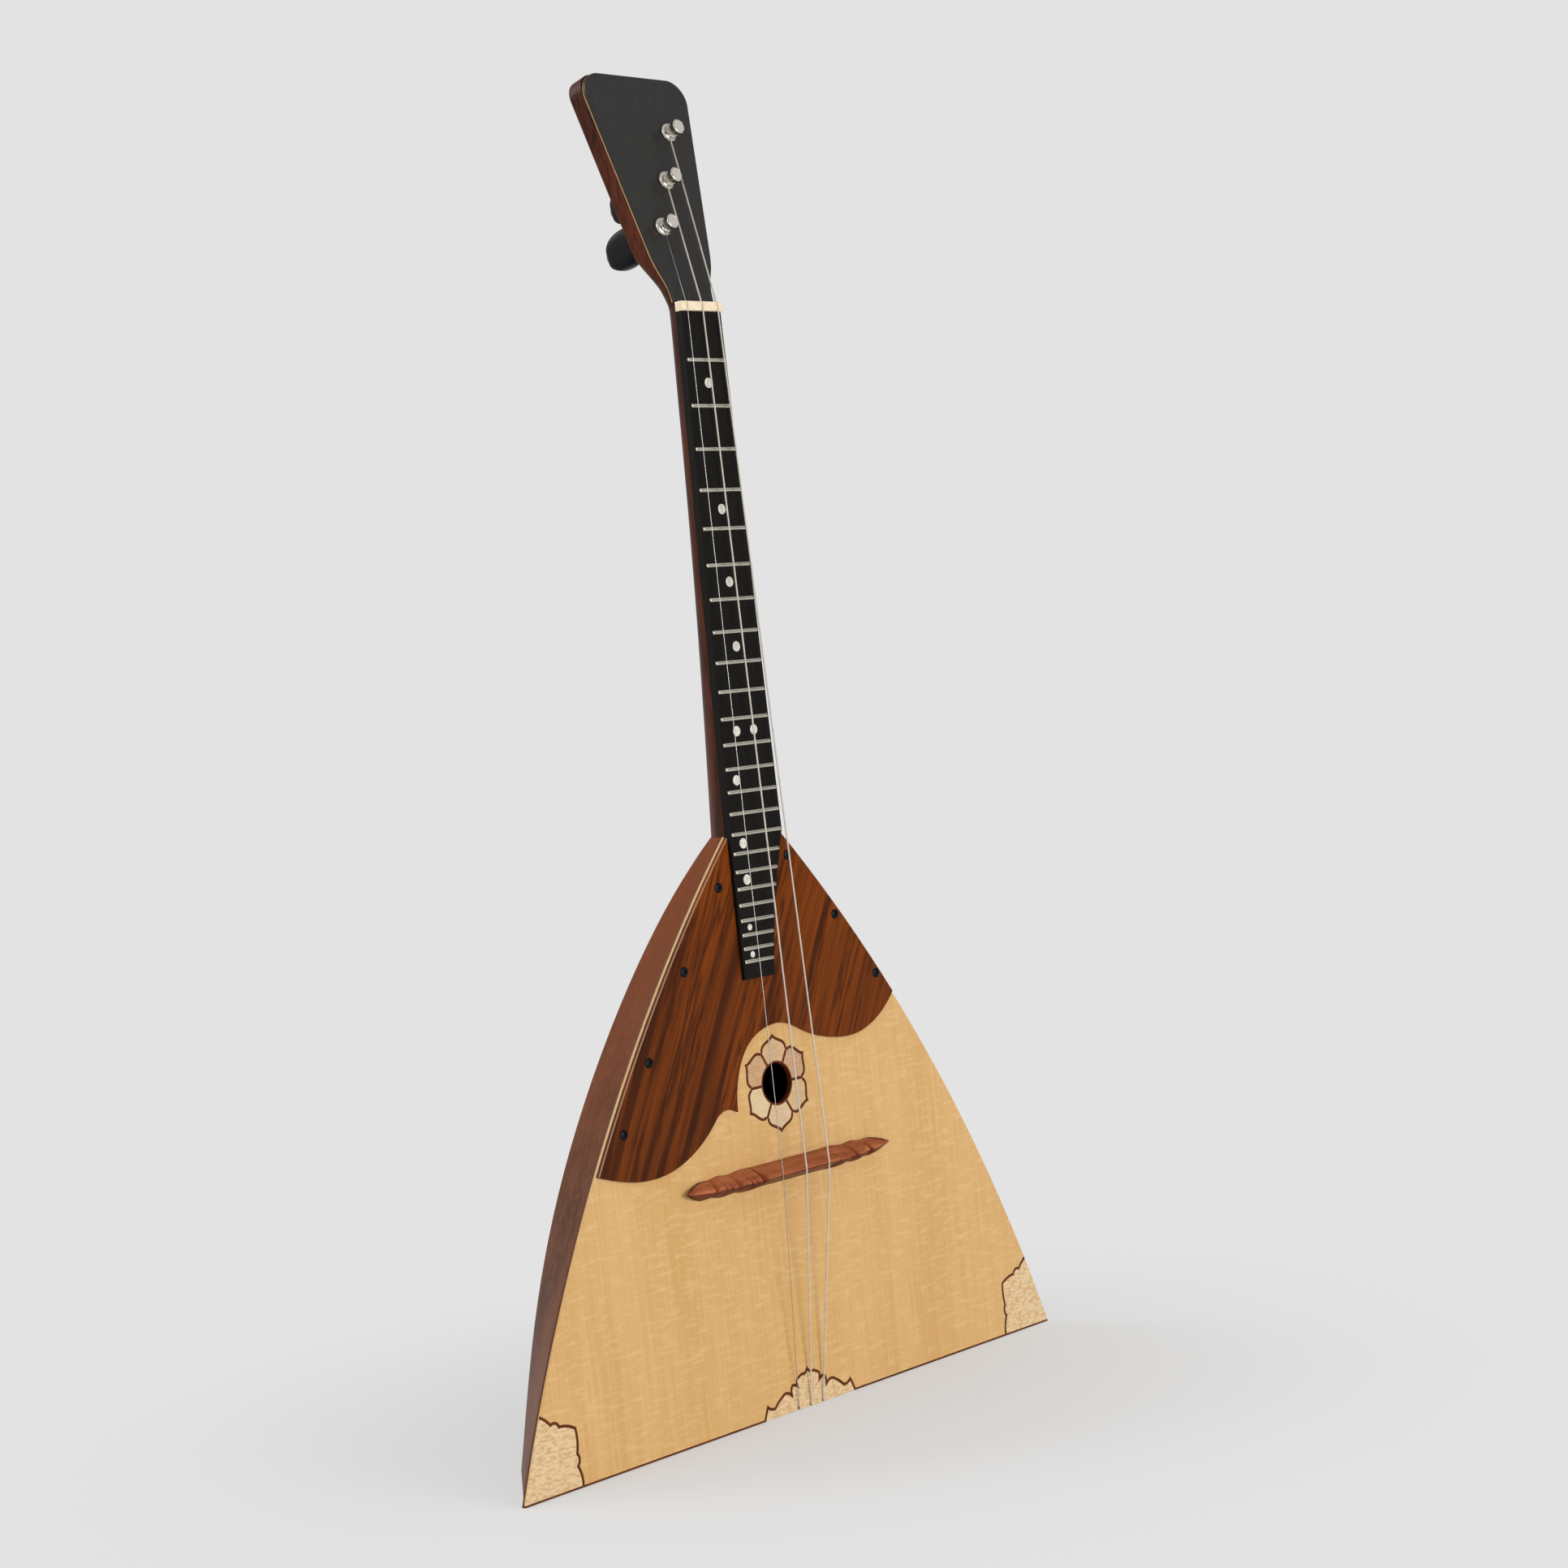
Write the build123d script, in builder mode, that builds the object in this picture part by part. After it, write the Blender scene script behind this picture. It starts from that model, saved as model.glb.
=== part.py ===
"""Three-string prima balalaika, built as the separate pieces it is glued and screwed from.

Frame: +Z runs up the neck, +X points right as seen from the front, and the strings face -Y. The
origin lies on the flat bottom panel, on the centre plane, 40 mm behind the face of the soundboard.
"""
import math
import os

from build123d import *

os.makedirs("parts", exist_ok=True)

# ---- driving dimensions, in millimetres -------------------------------------------------------
SCALE_LENGTH = 435.0        # nut to bridge, the size of a prima balalaika
FACE_Y = -40.0              # plane of the soundboard's face
NUT_Z = 555.0               # playing edge of the nut
BOARD_THICK = 2.4           # soundboard
BACK_OF_BOARD = FACE_Y + BOARD_THICK
JOINT_Z = 292.0             # where the neck meets the body, at the sixteenth fret
BODY_HALF = 195.0           # half the width of the bottom edge
JOINT_HALF = 19.4           # half the width of the body's point
TENON_WIDE, TENON_DEEP, TENON_LONG = 10.0, 9.0, 32.0      # the neck's tongue inside the body
EDGE_BULGE = 17.2           # how far each side of the soundboard bows out from its chord
RIB_THICK = 3.0
BOTTOM_THICK = 4.0
STRIP_HIGH = 1.0            # dark strip along the soundboard's bottom edge
INLAY_DEEP = 0.8
BORDER_WIDE = 1.5           # dark line around each inlay

HOLE_Z, HOLE_RADIUS = 165.0, 10.3
RING_RADIUS = 11.3          # outside of the thin ring around the sound hole
PETAL_COUNT = 6
PETAL_TIP, PETAL_VALLEY = 25.4, 19.0
PETAL_FLANK = [(20, 22.0), (10, 22.8)]     # (degrees from the tip, radius) on each petal's edge

GUARD_THICK = 2.0
GUARD_INSET = 0.5           # the guard stops this far inside the soundboard's edge
GUARD_GAP = 0.3             # clearance between the guard and the fingerboard
SCREW_RADIUS, SCREW_PROUD, SCREW_SHANK, SCREW_BORE = 2.6, 0.9, 0.95, 1.0
SCREW_PLACES = [(-29, 267.6), (-59, 229.5), (-89, 189.3), (-110.5, 158),
                (23, 278.5), (54, 244.3), (81, 210)]

FRET_COUNT = 24
BOARD_HALF_AT_NUT, BOARD_TAPER = 14.1, 0.0185
FINGER_THICK = 4.0
FINGER_END_Z = 220.0
CUT_END_X = 3.0             # where the fingerboard's cut-away edge ends
FRET_WIDE, FRET_HIGH, TANG_WIDE, TANG_DEEP = 2.2, 1.0, 0.6, 1.5
FRET_INSET = 0.9
BIG_DOT, SMALL_DOT, DOT_DEEP = 2.6, 1.6, 1.0
TWIN_DOT_X, LOW_DOT_X, LAST_DOT_X = 6.2, -10.0, -11.6     # how far dots sit off the centre plane

NUT_LONG, NUT_HIGH, NUT_HALF = 5.0, 5.8, 14.2
HEAD_TILT = 13.0            # degrees that the head leans back
PLATE_THICK, VENEER_THICK, HEAD_THICK = 2.0, 0.5, 13.0
HEAD_TOP, HEAD_HALF_TOP = 122.5, 37.8
PEG_BASES = [(-8.7, 40.0), (3.2, 65.7), (14.8, 92.6)]     # on the head plate, from its lower edge

SHAFT_RADIUS, BUSH_BORE, BUSH_RADIUS, FLANGE_RADIUS = 3.0, 3.05, 4.0, 3.5
COLLAR = [(5.1, 0.0), (5.1, 0.8), (4.7, 1.8), (3.9, 2.4)]     # (radius, height), without its bore
WASHER_RADIUS, WASHER_THICK = 5.0, 0.9
WAIST_RADIUS, WIND_LOW, WIND_HIGH, CAP_TOP, CAP_RADIUS = 2.7, 3.0, 5.9, 8.8, 3.8
FLANGE_THICK, WAIST_EASE, CAP_EASE = 0.5, 0.4, 0.5     # flange, and slopes beside waist and cap
WIND_LONG, WIND_RISE, STRING_CLEAR = [1.6, 1.9, 1.9], 1.3, 0.12
BUTTON_FRONT, BUTTON_BACK, BUTTON_HALF, BUTTON_THICK = -14.0, -40.0, 10.0, 7.6
BUTTON_HUB, SQUARE_END = 4.6, 2.2     # hub of a peg button, and the shaft's end inside it
# Outline above one end of the bridge, (distance from the centre, height above the soundboard).
BRIDGE_STEPS = [(27, 20), (27, 12.4), (28.5, 9.8), (34, 10.6), (42.5, 8.8), (43.5, 7.4), (48, 8.2),
                (56.5, 6.8), (57.5, 5.4), (60, 6.8), (66, 6.8), (76, 5.2), (80, 5.2), (80, 20)]
BRIDGE_LIFT = [(58, 0), (80, 4.4), (80, -1), (58, -1)]     # what is cut away below each tip
TIP_START, TIP_HALF, TIP_MIDDLE = 52, 4.6, 2.3     # each arm narrows from here to its point

STRING_RADII = [0.2, 0.45, 0.45]
NUT_SPACING, BRIDGE_SPACING, TAIL_SPACING = 10.8, 17.0, 9.0
STRING_AT_NUT, BRIDGE_HIGH = 5.5, 14.0
BRIDGE_Z, BRIDGE_HALF = NUT_Z - SCALE_LENGTH, 75.0
PIN_BACK = 15.0             # string pins, behind the soundboard's face
PIN_RADIUS, PIN_BORE, PIN_LOW, PIN_LONG = 1.45, 1.5, 0.6, 13.2
PIN_HEAD_RADIUS, PIN_HEAD_THICK = 2.4, 0.5
GROOVE_WIDE, GROOVE_DEEP, POCKET_DEEP, POCKET_WIDE = 1.8, 1.9, 3.2, 9.0
TAIL_STRING_Z = 1.25        # the strings run under the bottom panel at this height
BRIDGE_FOOT = 9.0           # thickness of the bridge's foot, along the strings
SLOT_GAP = 0.04             # clearance around a string in the nut and the bridge

TAIL_BLOCK_WIDE, TAIL_BLOCK_DEEP, TAIL_BLOCK_HIGH = 64.0, 22.0, 18.0
NECK_BLOCK = [(JOINT_Z, 9.0, 12.5), (238.0, 24.0, 34.0)]       # (height, half width, depth)
TENON_GAP = 0.1
LINING_GAP = 0.75           # between a lining and the stave beside it
LINING_WIDE, LINING_DEEP = 7.0, 5.5
LINING_LEVELS = [30.0, 75.0, 120.0, 165.0, 205.0, 232.0]
CORNER_WIDE, CORNER_DEEP, CORNER_HIGH = 26.0, 15.0, 24.0
WEDGE_FOOT = 1.5            # flat at the deep end of a lining
BOTTOM_LINING_X, BOTTOM_LINING_LONG, BOTTOM_LINING_DEEP, BOTTOM_LINING_HIGH = 92.0, 114.0, 6.0, 5.0
BRACES = {"brace_upper": (205.0, 7.0), "brace_middle": (138.0, 8.0), "brace_lower": (72.0, 8.0)}
BRACE_WIDE, BRACE_END, BRACE_SHORT, BRACE_FLAT = 6.0, 2.5, 20.0, 0.7
OVERDRAWN = 2.0             # how far a cutting shape is drawn past the edge it cuts

# Corners of the staved back at heights above the base: (height, three corners on the right side).
# Each corner is (half width, depth behind the face).
BACK_STATIONS = [
    (BOTTOM_THICK, [(158.5, 43.0), (102.5, 75.0), (35.0, 90.0)]),
    (60.0, [(145.3, 41.2), (95.0, 71.5), (32.5, 86.0)]),
    (120.0, [(125.6, 38.0), (83.0, 66.0), (28.5, 79.0)]),
    (180.0, [(96.5, 33.0), (64.0, 57.0), (22.0, 68.0)]),
    (240.0, [(59.0, 24.8), (38.5, 42.0), (13.5, 49.5)]),
    (JOINT_Z, [(16.0, 12.0), (9.8, 18.4), (3.8, 21.4)]),
]


def face_plane(height=0.0):
    """Plane parallel to the soundboard, a height in front of its face; local y runs up."""
    return Plane(origin=(0, FACE_Y - height, 0), x_dir=(1, 0, 0), z_dir=(0, -1, 0))


def tilt_vectors():
    """Directions up the head and out of its front, for the head's backward lean."""
    lean = math.radians(HEAD_TILT)
    return Vector(0, math.sin(lean), math.cos(lean)), Vector(0, -math.cos(lean), math.sin(lean))


HEAD_UP, HEAD_FRONT = tilt_vectors()
HEAD_ORIGIN = Vector(0, FACE_Y - 0.5, NUT_Z + NUT_LONG)


def head_plane(height=0.0):
    """Plane parallel to the head plate, a height in front of it; local y runs up the head."""
    return Plane(origin=HEAD_ORIGIN + HEAD_FRONT * height, x_dir=(1, 0, 0), z_dir=HEAD_FRONT)


def side_arc_centre():
    """Centre and radius of the arc that bounds the right side of the soundboard."""
    low, high = Vector(BODY_HALF, 0), Vector(JOINT_HALF, JOINT_Z)
    chord = high - low
    radius = (chord.length ** 2 / 4 + EDGE_BULGE ** 2) / (2 * EDGE_BULGE)
    inward = Vector(-chord.Y, chord.X).normalized()
    return (low + high) * 0.5 + inward * (radius - EDGE_BULGE), radius


ARC_CENTRE, ARC_RADIUS = side_arc_centre()


def body_half(height):
    """Half width of the soundboard at a height above the base."""
    rise = height - ARC_CENTRE.Y
    return ARC_CENTRE.X + math.sqrt(ARC_RADIUS ** 2 - rise ** 2)


def fret_z(number):
    """Height of a fret by the twelfth-root rule."""
    return NUT_Z - SCALE_LENGTH * (1 - 2 ** (-number / 12))


def finger_half(height):
    """Half width of the fingerboard."""
    return BOARD_HALF_AT_NUT + BOARD_TAPER * (NUT_Z - height)


def cut_away_x(height):
    """Right edge of the fingerboard below the joint, a hollow curve."""
    span = finger_half(JOINT_Z) - CUT_END_X
    return CUT_END_X + span * ((height - FINGER_END_Z) / (JOINT_Z - FINGER_END_Z)) ** 1.5


def fret_ends(height):
    """Left and right ends of a fret at a height."""
    right = finger_half(height) if height > JOINT_Z else cut_away_x(height)
    return -finger_half(max(height, JOINT_Z)) + FRET_INSET, right - FRET_INSET


def between(number):
    """Height midway between a fret and the one above it, where a dot goes."""
    return (fret_z(number) + fret_z(number - 1)) / 2


# Dots let into the fingerboard: (across, height, radius).
DOTS = [(0, between(number), BIG_DOT) for number in (2, 5, 7, 9)]
DOTS += [(side * TWIN_DOT_X, between(12), BIG_DOT) for side in (-1, 1)]
DOTS += [(LOW_DOT_X, between(number), BIG_DOT) for number in (14, 17, 19)]
DOTS += [(LAST_DOT_X, between(number), SMALL_DOT) for number in (22, 24)]


def finish(piece, name, tint):
    """Names a finished piece, gives it a colour and writes it to its own file."""
    piece.part.label = name
    piece.part.color = Color(tint)
    export_step(piece.part, f"parts/{name}.step")
    print(name, round(piece.part.volume, 1))


# ---- the bowl: seven staves, the bottom panel and what is glued inside ------------------------
def outer_corners(station):
    """Outer corners of the back at one station, from the right edge round to the left one."""
    height, corners = station
    right = [Vector(body_half(height), BACK_OF_BOARD)]
    right += [Vector(x, FACE_Y + depth) for x, depth in corners]
    return right + [Vector(-p.X, p.Y) for p in reversed(right)]


def inner_corners(station, thick):
    """The same corners moved inwards by a wall thickness, along mitre lines."""
    outer = outer_corners(station)
    normals = []
    for here, following in zip(outer, outer[1:]):
        along = (following - here).normalized()
        normals.append(Vector(-along.Y, along.X))
    inner = [outer[0] + Vector(thick / normals[0].X, 0)]
    for corner, before, after in zip(outer[1:], normals, normals[1:]):
        inner.append(corner + (before + after) * (thick / (1 + before.dot(after))))
    inner.append(Vector(-inner[0].X, inner[0].Y))
    return inner


def loft_polygons(heights, polygons):
    """Smooth loft through closed polygons, each on its own level."""
    with BuildPart() as piece:
        for height, points in zip(heights, polygons):
            with BuildSketch(Plane.XY.offset(height)):
                with BuildLine():
                    Polyline(*[(p.X, p.Y) for p in points], close=True)
                make_face()
        loft()
    return piece


levels = [station[0] for station in BACK_STATIONS]
outers = [outer_corners(station) for station in BACK_STATIONS]
inners = [inner_corners(station, RIB_THICK) for station in BACK_STATIONS]

for index in range(7):
    staves = [[o[index], o[index + 1], i[index + 1], i[index]] for o, i in zip(outers, inners)]
    rib = loft_polygons(levels, staves)
    finish(rib, f"rib_{index + 1}", 0x6A4030)

STRING_PLACES = [-1, 0, 1]
PIN_Y = FACE_Y + PIN_BACK

with BuildPart() as string_grooves:
    for place in STRING_PLACES:
        with Locations((place * TAIL_SPACING, (FACE_Y + PIN_Y) / 2 - 0.5, GROOVE_DEEP / 2)):
            Box(GROOVE_WIDE, PIN_BACK + 1.0, GROOVE_DEEP)
    with Locations((0, PIN_Y, POCKET_DEEP / 2)):
        Box(2 * TAIL_SPACING + POCKET_WIDE, POCKET_WIDE, POCKET_DEEP)

with BuildPart() as bottom_panel:
    with BuildSketch(Plane.XY):
        with BuildLine():
            Polyline(*[(p.X, p.Y) for p in outers[0]], close=True)
        make_face()
    extrude(amount=BOTTOM_THICK)
    add(string_grooves.part, mode=Mode.SUBTRACT)
    for place in STRING_PLACES:
        with Locations((place * TAIL_SPACING, PIN_Y, BOTTOM_THICK / 2)):
            Cylinder(PIN_BORE, BOTTOM_THICK, mode=Mode.SUBTRACT)
finish(bottom_panel, "bottom_panel", 0x5A3426)

with BuildPart() as tail_block:
    with Locations((0, BACK_OF_BOARD + TAIL_BLOCK_DEEP / 2, BOTTOM_THICK + TAIL_BLOCK_HIGH / 2)):
        Box(TAIL_BLOCK_WIDE, TAIL_BLOCK_DEEP, TAIL_BLOCK_HIGH)
    for place in STRING_PLACES:
        with Locations((place * TAIL_SPACING, PIN_Y, BOTTOM_THICK)):
            Cylinder(PIN_BORE, 2 * (PIN_LOW + PIN_LONG - BOTTOM_THICK), mode=Mode.SUBTRACT)
    fillet(tail_block.edges().filter_by(Axis.X).group_by(Axis.Z)[-1], 3)
finish(tail_block, "tail_block", 0xC9A26A)

with BuildPart() as string_pins:
    for place in STRING_PLACES:
        with Locations((place * TAIL_SPACING, PIN_Y, PIN_LOW + PIN_LONG / 2)):
            Cylinder(PIN_RADIUS, PIN_LONG)
        with Locations((place * TAIL_SPACING, PIN_Y, 0.2 + PIN_HEAD_THICK / 2)):
            Cylinder(PIN_HEAD_RADIUS, PIN_HEAD_THICK)
finish(string_pins, "string_pins", 0xC8C8C4)

with BuildPart() as neck_block:
    for height, half, depth in NECK_BLOCK:
        with BuildSketch(Plane.XY.offset(height)):
            with Locations((0, BACK_OF_BOARD)):
                Rectangle(2 * half, depth, align=(Align.CENTER, Align.MIN))
    loft()
    with Locations((0, BACK_OF_BOARD + TENON_DEEP / 2, JOINT_Z - TENON_LONG / 2)):
        Box(TENON_WIDE + 2 * TENON_GAP, TENON_DEEP + 2 * TENON_GAP, TENON_LONG + 2 * TENON_GAP,
            mode=Mode.SUBTRACT)
finish(neck_block, "neck_block", 0xC9A26A)


def station_at(height):
    """Corners of the back between two listed stations, by straight interpolation."""
    for low, high in zip(BACK_STATIONS, BACK_STATIONS[1:]):
        if low[0] <= height <= high[0]:
            share = (height - low[0]) / (high[0] - low[0])
            corners = [(a[0] + (b[0] - a[0]) * share, a[1] + (b[1] - a[1]) * share)
                       for a, b in zip(low[1], high[1])]
            return height, corners
    raise ValueError("height is outside the body")


def wedge_in_corner(height, reach, deep):
    """Triangle that fills the corner between the soundboard and a side stave, on the right."""
    inner = inner_corners(station_at(height), RIB_THICK + LINING_GAP)
    edge, turn = inner[0], inner[1]
    share = deep / (turn.Y - edge.Y)
    low = edge + (turn - edge) * share
    return [edge, low, Vector(low.X - WEDGE_FOOT, low.Y), Vector(edge.X - reach, edge.Y)]


def mirrored(points):
    """Mirror image of a list of points in the centre plane."""
    return [Vector(-p.X, p.Y) for p in points]


right_linings = [wedge_in_corner(level, LINING_WIDE, LINING_DEEP) for level in LINING_LEVELS]
finish(loft_polygons(LINING_LEVELS, right_linings), "lining_right", 0xC9A26A)
finish(loft_polygons(LINING_LEVELS, [mirrored(p) for p in right_linings]), "lining_left", 0xC9A26A)

BLOCK_LEVELS = [BOTTOM_THICK, BOTTOM_THICK + CORNER_HIGH]
right_blocks = [wedge_in_corner(level, CORNER_WIDE, CORNER_DEEP) for level in BLOCK_LEVELS]
finish(loft_polygons(BLOCK_LEVELS, right_blocks), "corner_block_right", 0xC9A26A)
finish(loft_polygons(BLOCK_LEVELS, [mirrored(p) for p in right_blocks]), "corner_block_left", 0xC9A26A)

with BuildPart() as lining_bottom:
    for side in (-1, 1):
        with Locations((side * BOTTOM_LINING_X, BACK_OF_BOARD + BOTTOM_LINING_DEEP / 2,
                        BOTTOM_THICK + BOTTOM_LINING_HIGH / 2)):
            Box(BOTTOM_LINING_LONG, BOTTOM_LINING_DEEP, BOTTOM_LINING_HIGH)
finish(lining_bottom, "lining_bottom", 0xC9A26A)


def make_brace(height, tall):
    """Bar glued across the inside of the soundboard, thinned towards both ends."""
    half = body_half(height) - BRACE_SHORT
    flat, end, top = half * BRACE_FLAT, BACK_OF_BOARD + BRACE_END, BACK_OF_BOARD + tall
    with BuildPart() as piece:
        with BuildSketch(Plane.XY.offset(height - BRACE_WIDE / 2)):
            with BuildLine():
                Polyline((-half, BACK_OF_BOARD), (half, BACK_OF_BOARD), (half, end), (flat, top),
                         (-flat, top), (-half, end), close=True)
            make_face()
        extrude(amount=BRACE_WIDE)
    return piece


for name, (height, tall) in BRACES.items():
    finish(make_brace(height, tall), name, 0xD9B67C)

# ---- the soundboard and what is let into it ---------------------------------------------------
# Border lines of the inlays, from the edge of the soundboard inwards: each entry is a point where
# two scallops meet, and the number after it is how far the scallop before it bows outwards.
CORNER_LINE = [(190.5, 41.6, 0), (174.4, 34.4, 2.0), (169.0, 32.2, 1.2), (158.9, 28.9, 0.7),
               (159.1, 16.6, 0.7), (159.3, 10.5, 1.1), (157.9, -OVERDRAWN, 1.2)]
TAIL_LINE = [(35.2, -OVERDRAWN, 0), (31.0, 8.0, 0.4), (26.0, 5.6, -0.8), (20.0, 10.0, 0.3),
             (13.8, 10.0, 1.1), (12.2, 13.8, 0.5), (9.2, 13.4, 0.3), (6.8, 17.0, 0.9),
             (2.6, 17.8, 0.5), (0.0, 20.6, -0.3)]


def scallops(line, side=1):
    """Chain of arcs through the points of a border line, on the right (1) or left (-1) side."""
    points = [Vector(side * x, z) for x, z, bow in line]
    for here, following, entry in zip(points, points[1:], line[1:]):
        along = following - here
        outward = Vector(-along.Y, along.X).normalized() * (-side)
        if entry[2]:
            ThreePointArc(here, (here + following) * 0.5 + outward * entry[2], following)
        else:
            Line(here, following)
    return points


def inlay_shape(kind, side=1):
    """Flat shape of an inlay, drawn past the edge of the soundboard where it meets it."""
    with BuildSketch(mode=Mode.PRIVATE) as shape:
        with BuildLine():
            if kind == "corner":
                ends = scallops(CORNER_LINE, side)
                outside = side * (BODY_HALF + 15)
                Polyline(ends[-1], (outside, -OVERDRAWN), (outside, CORNER_LINE[0][1]), ends[0])
            else:
                scallops(TAIL_LINE, 1)
                scallops(TAIL_LINE, -1)
                Line((-TAIL_LINE[0][0], -OVERDRAWN), (TAIL_LINE[0][0], -OVERDRAWN))
        make_face()
    return shape.sketch


def is_border(edge, kind):
    """Whether an edge of an inlay's shape is part of its scalloped line."""
    middle = edge.center()
    scalloped = middle.Y < CORNER_LINE[0][1] and middle.Y > 0.1 - OVERDRAWN
    return scalloped and (kind == "tail" or abs(middle.X) < CORNER_LINE[0][0])


MID_Z = JOINT_Z / 2          # where the arcs of the soundboard's sides pass their middle
with BuildSketch(mode=Mode.PRIVATE) as board_outline:
    with BuildLine():
        ThreePointArc((BODY_HALF, 0), (body_half(MID_Z), MID_Z), (JOINT_HALF, JOINT_Z))
        Line((JOINT_HALF, JOINT_Z), (-JOINT_HALF, JOINT_Z))
        ThreePointArc((-JOINT_HALF, JOINT_Z), (-body_half(MID_Z), MID_Z), (-BODY_HALF, 0))
        Line((-BODY_HALF, 0), (BODY_HALF, 0))
    make_face()

with BuildSketch(mode=Mode.PRIVATE) as above_strip:
    with Locations((0, 200 + STRIP_HIGH)):
        Rectangle(500, 400)

INLAYS = {"corner_inlay_right": ("corner", 1), "corner_inlay_left": ("corner", -1),
          "tail_inlay": ("tail", 1)}
board_field = board_outline.sketch & above_strip.sketch
wood_shapes, border_shapes = {}, {}
for name, (kind, side) in INLAYS.items():
    whole = inlay_shape(kind, side)
    field = board_outline.sketch if kind == "tail" else board_field
    line_edges = [edge for edge in whole.edges() if is_border(edge, kind)]
    with BuildSketch(mode=Mode.PRIVATE) as dark_line:
        trace(line_edges, line_width=2 * BORDER_WIDE)
        add(whole, mode=Mode.INTERSECT)
        add(field, mode=Mode.INTERSECT)
    border_shapes[name] = dark_line.sketch
    wood_shapes[name] = (whole & field) - dark_line.sketch


def petal_place(angle, radius, swing):
    """Point at a radius from the sound hole's centre, some degrees round from a petal's tip."""
    heading = math.radians(angle + swing)
    return Vector(radius * math.cos(heading), HOLE_Z + radius * math.sin(heading))


def petal_edge(angle):
    """Outer edge of one petal: two curves that rise from the valleys to the tip."""
    half_step = 180 / PETAL_COUNT
    for side in (1, -1):
        flank = [petal_place(angle, radius, side * swing) for swing, radius in PETAL_FLANK]
        Spline(petal_place(angle, PETAL_VALLEY, side * half_step), *flank,
               petal_place(angle, PETAL_TIP, 0))


PETAL_ANGLES = [90 + 360 / PETAL_COUNT * step for step in range(PETAL_COUNT)]
with BuildSketch(mode=Mode.PRIVATE) as ring_disc:
    with Locations((0, HOLE_Z)):
        Circle(RING_RADIUS)
with BuildSketch(mode=Mode.PRIVATE) as rosette_whole:
    for angle in PETAL_ANGLES:
        with BuildLine():
            petal_edge(angle)
            Polyline(petal_place(angle, PETAL_VALLEY, -180 / PETAL_COUNT), (0, HOLE_Z),
                     petal_place(angle, PETAL_VALLEY, 180 / PETAL_COUNT))
        make_face()
with BuildSketch(mode=Mode.PRIVATE) as rosette_lines:
    for angle in PETAL_ANGLES:
        with BuildLine():
            petal_edge(angle)
        trace(line_width=2 * BORDER_WIDE)
    add(rosette_whole.sketch, mode=Mode.INTERSECT)
    for angle in PETAL_ANGLES:
        with Locations(Location((0, HOLE_Z, 0), angle + 180 / PETAL_COUNT)):
            Rectangle(PETAL_VALLEY, BORDER_WIDE, align=(Align.MIN, Align.CENTER))
    add(ring_disc.sketch, mode=Mode.SUBTRACT)
petal_woods = rosette_whole.sketch - rosette_lines.sketch - ring_disc.sketch

# The strip along the bottom edge stops at the tail inlay, where the board itself reaches the edge.
with BuildSketch(mode=Mode.PRIVATE) as strip_shape:
    add(board_outline.sketch)
    add(above_strip.sketch, mode=Mode.SUBTRACT)
    add(inlay_shape("tail"), mode=Mode.SUBTRACT)

with BuildPart() as soundboard:
    with BuildSketch(face_plane(-BOARD_THICK)):
        add(board_outline.sketch)
        add(strip_shape.sketch, mode=Mode.SUBTRACT)
    extrude(amount=BOARD_THICK)
    with BuildSketch(face_plane()):
        for name in INLAYS:
            add(wood_shapes[name])
            add(border_shapes[name])
        add(rosette_whole.sketch)
    extrude(amount=-INLAY_DEEP, mode=Mode.SUBTRACT)
    with BuildSketch(face_plane()):
        add(ring_disc.sketch)
        for place in SCREW_PLACES:
            with Locations(place):
                Circle(SCREW_BORE)
    extrude(amount=-BOARD_THICK, mode=Mode.SUBTRACT)
    add(string_grooves.part, mode=Mode.SUBTRACT)
finish(soundboard, "soundboard", 0xD6AB70)

for name in INLAYS:
    with BuildPart() as inlay:
        with BuildSketch(face_plane(-INLAY_DEEP)):
            add(wood_shapes[name])
        extrude(amount=INLAY_DEEP)
        add(string_grooves.part, mode=Mode.SUBTRACT)
    finish(inlay, name, 0xDDBE8D)
    with BuildPart() as border:
        with BuildSketch(face_plane(-INLAY_DEEP)):
            add(border_shapes[name])
        extrude(amount=INLAY_DEEP)
    finish(border, name.replace("inlay", "border"), 0x4A2412)

with BuildPart() as rosette_petals:
    with BuildSketch(face_plane(-INLAY_DEEP)):
        add(petal_woods)
    extrude(amount=INLAY_DEEP)
finish(rosette_petals, "rosette_petals", 0xDDC495)

with BuildPart() as rosette_outline:
    with BuildSketch(face_plane(-INLAY_DEEP)):
        add(rosette_lines.sketch)
    extrude(amount=INLAY_DEEP)
finish(rosette_outline, "rosette_outline", 0x4A2412)

with BuildPart() as soundhole_ring:
    with BuildSketch(face_plane(-BOARD_THICK)):
        add(ring_disc.sketch)
        with Locations((0, HOLE_Z)):
            Circle(HOLE_RADIUS, mode=Mode.SUBTRACT)
    extrude(amount=BOARD_THICK)
finish(soundhole_ring, "soundhole_ring", 0x3A1E10)

with BuildPart() as edge_strip:
    with BuildSketch(face_plane(-BOARD_THICK)):
        add(strip_shape.sketch)
    extrude(amount=BOARD_THICK)
finish(edge_strip, "edge_strip", 0x4A2412)

# ---- the neck and head ------------------------------------------------------------------------
NECK_SECTIONS = [(JOINT_Z, 20.7), (350.0, 16.8), (410.0, 13.6), (467.0, 12.0), (520.0, 11.4),
                 (NUT_Z + NUT_LONG, 11.2)]
THROAT_SECTIONS = [(9.0, 15.0, 11.8), (17.0, 18.0, 12.6), (27.0, 20.2, 12.9)]


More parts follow.
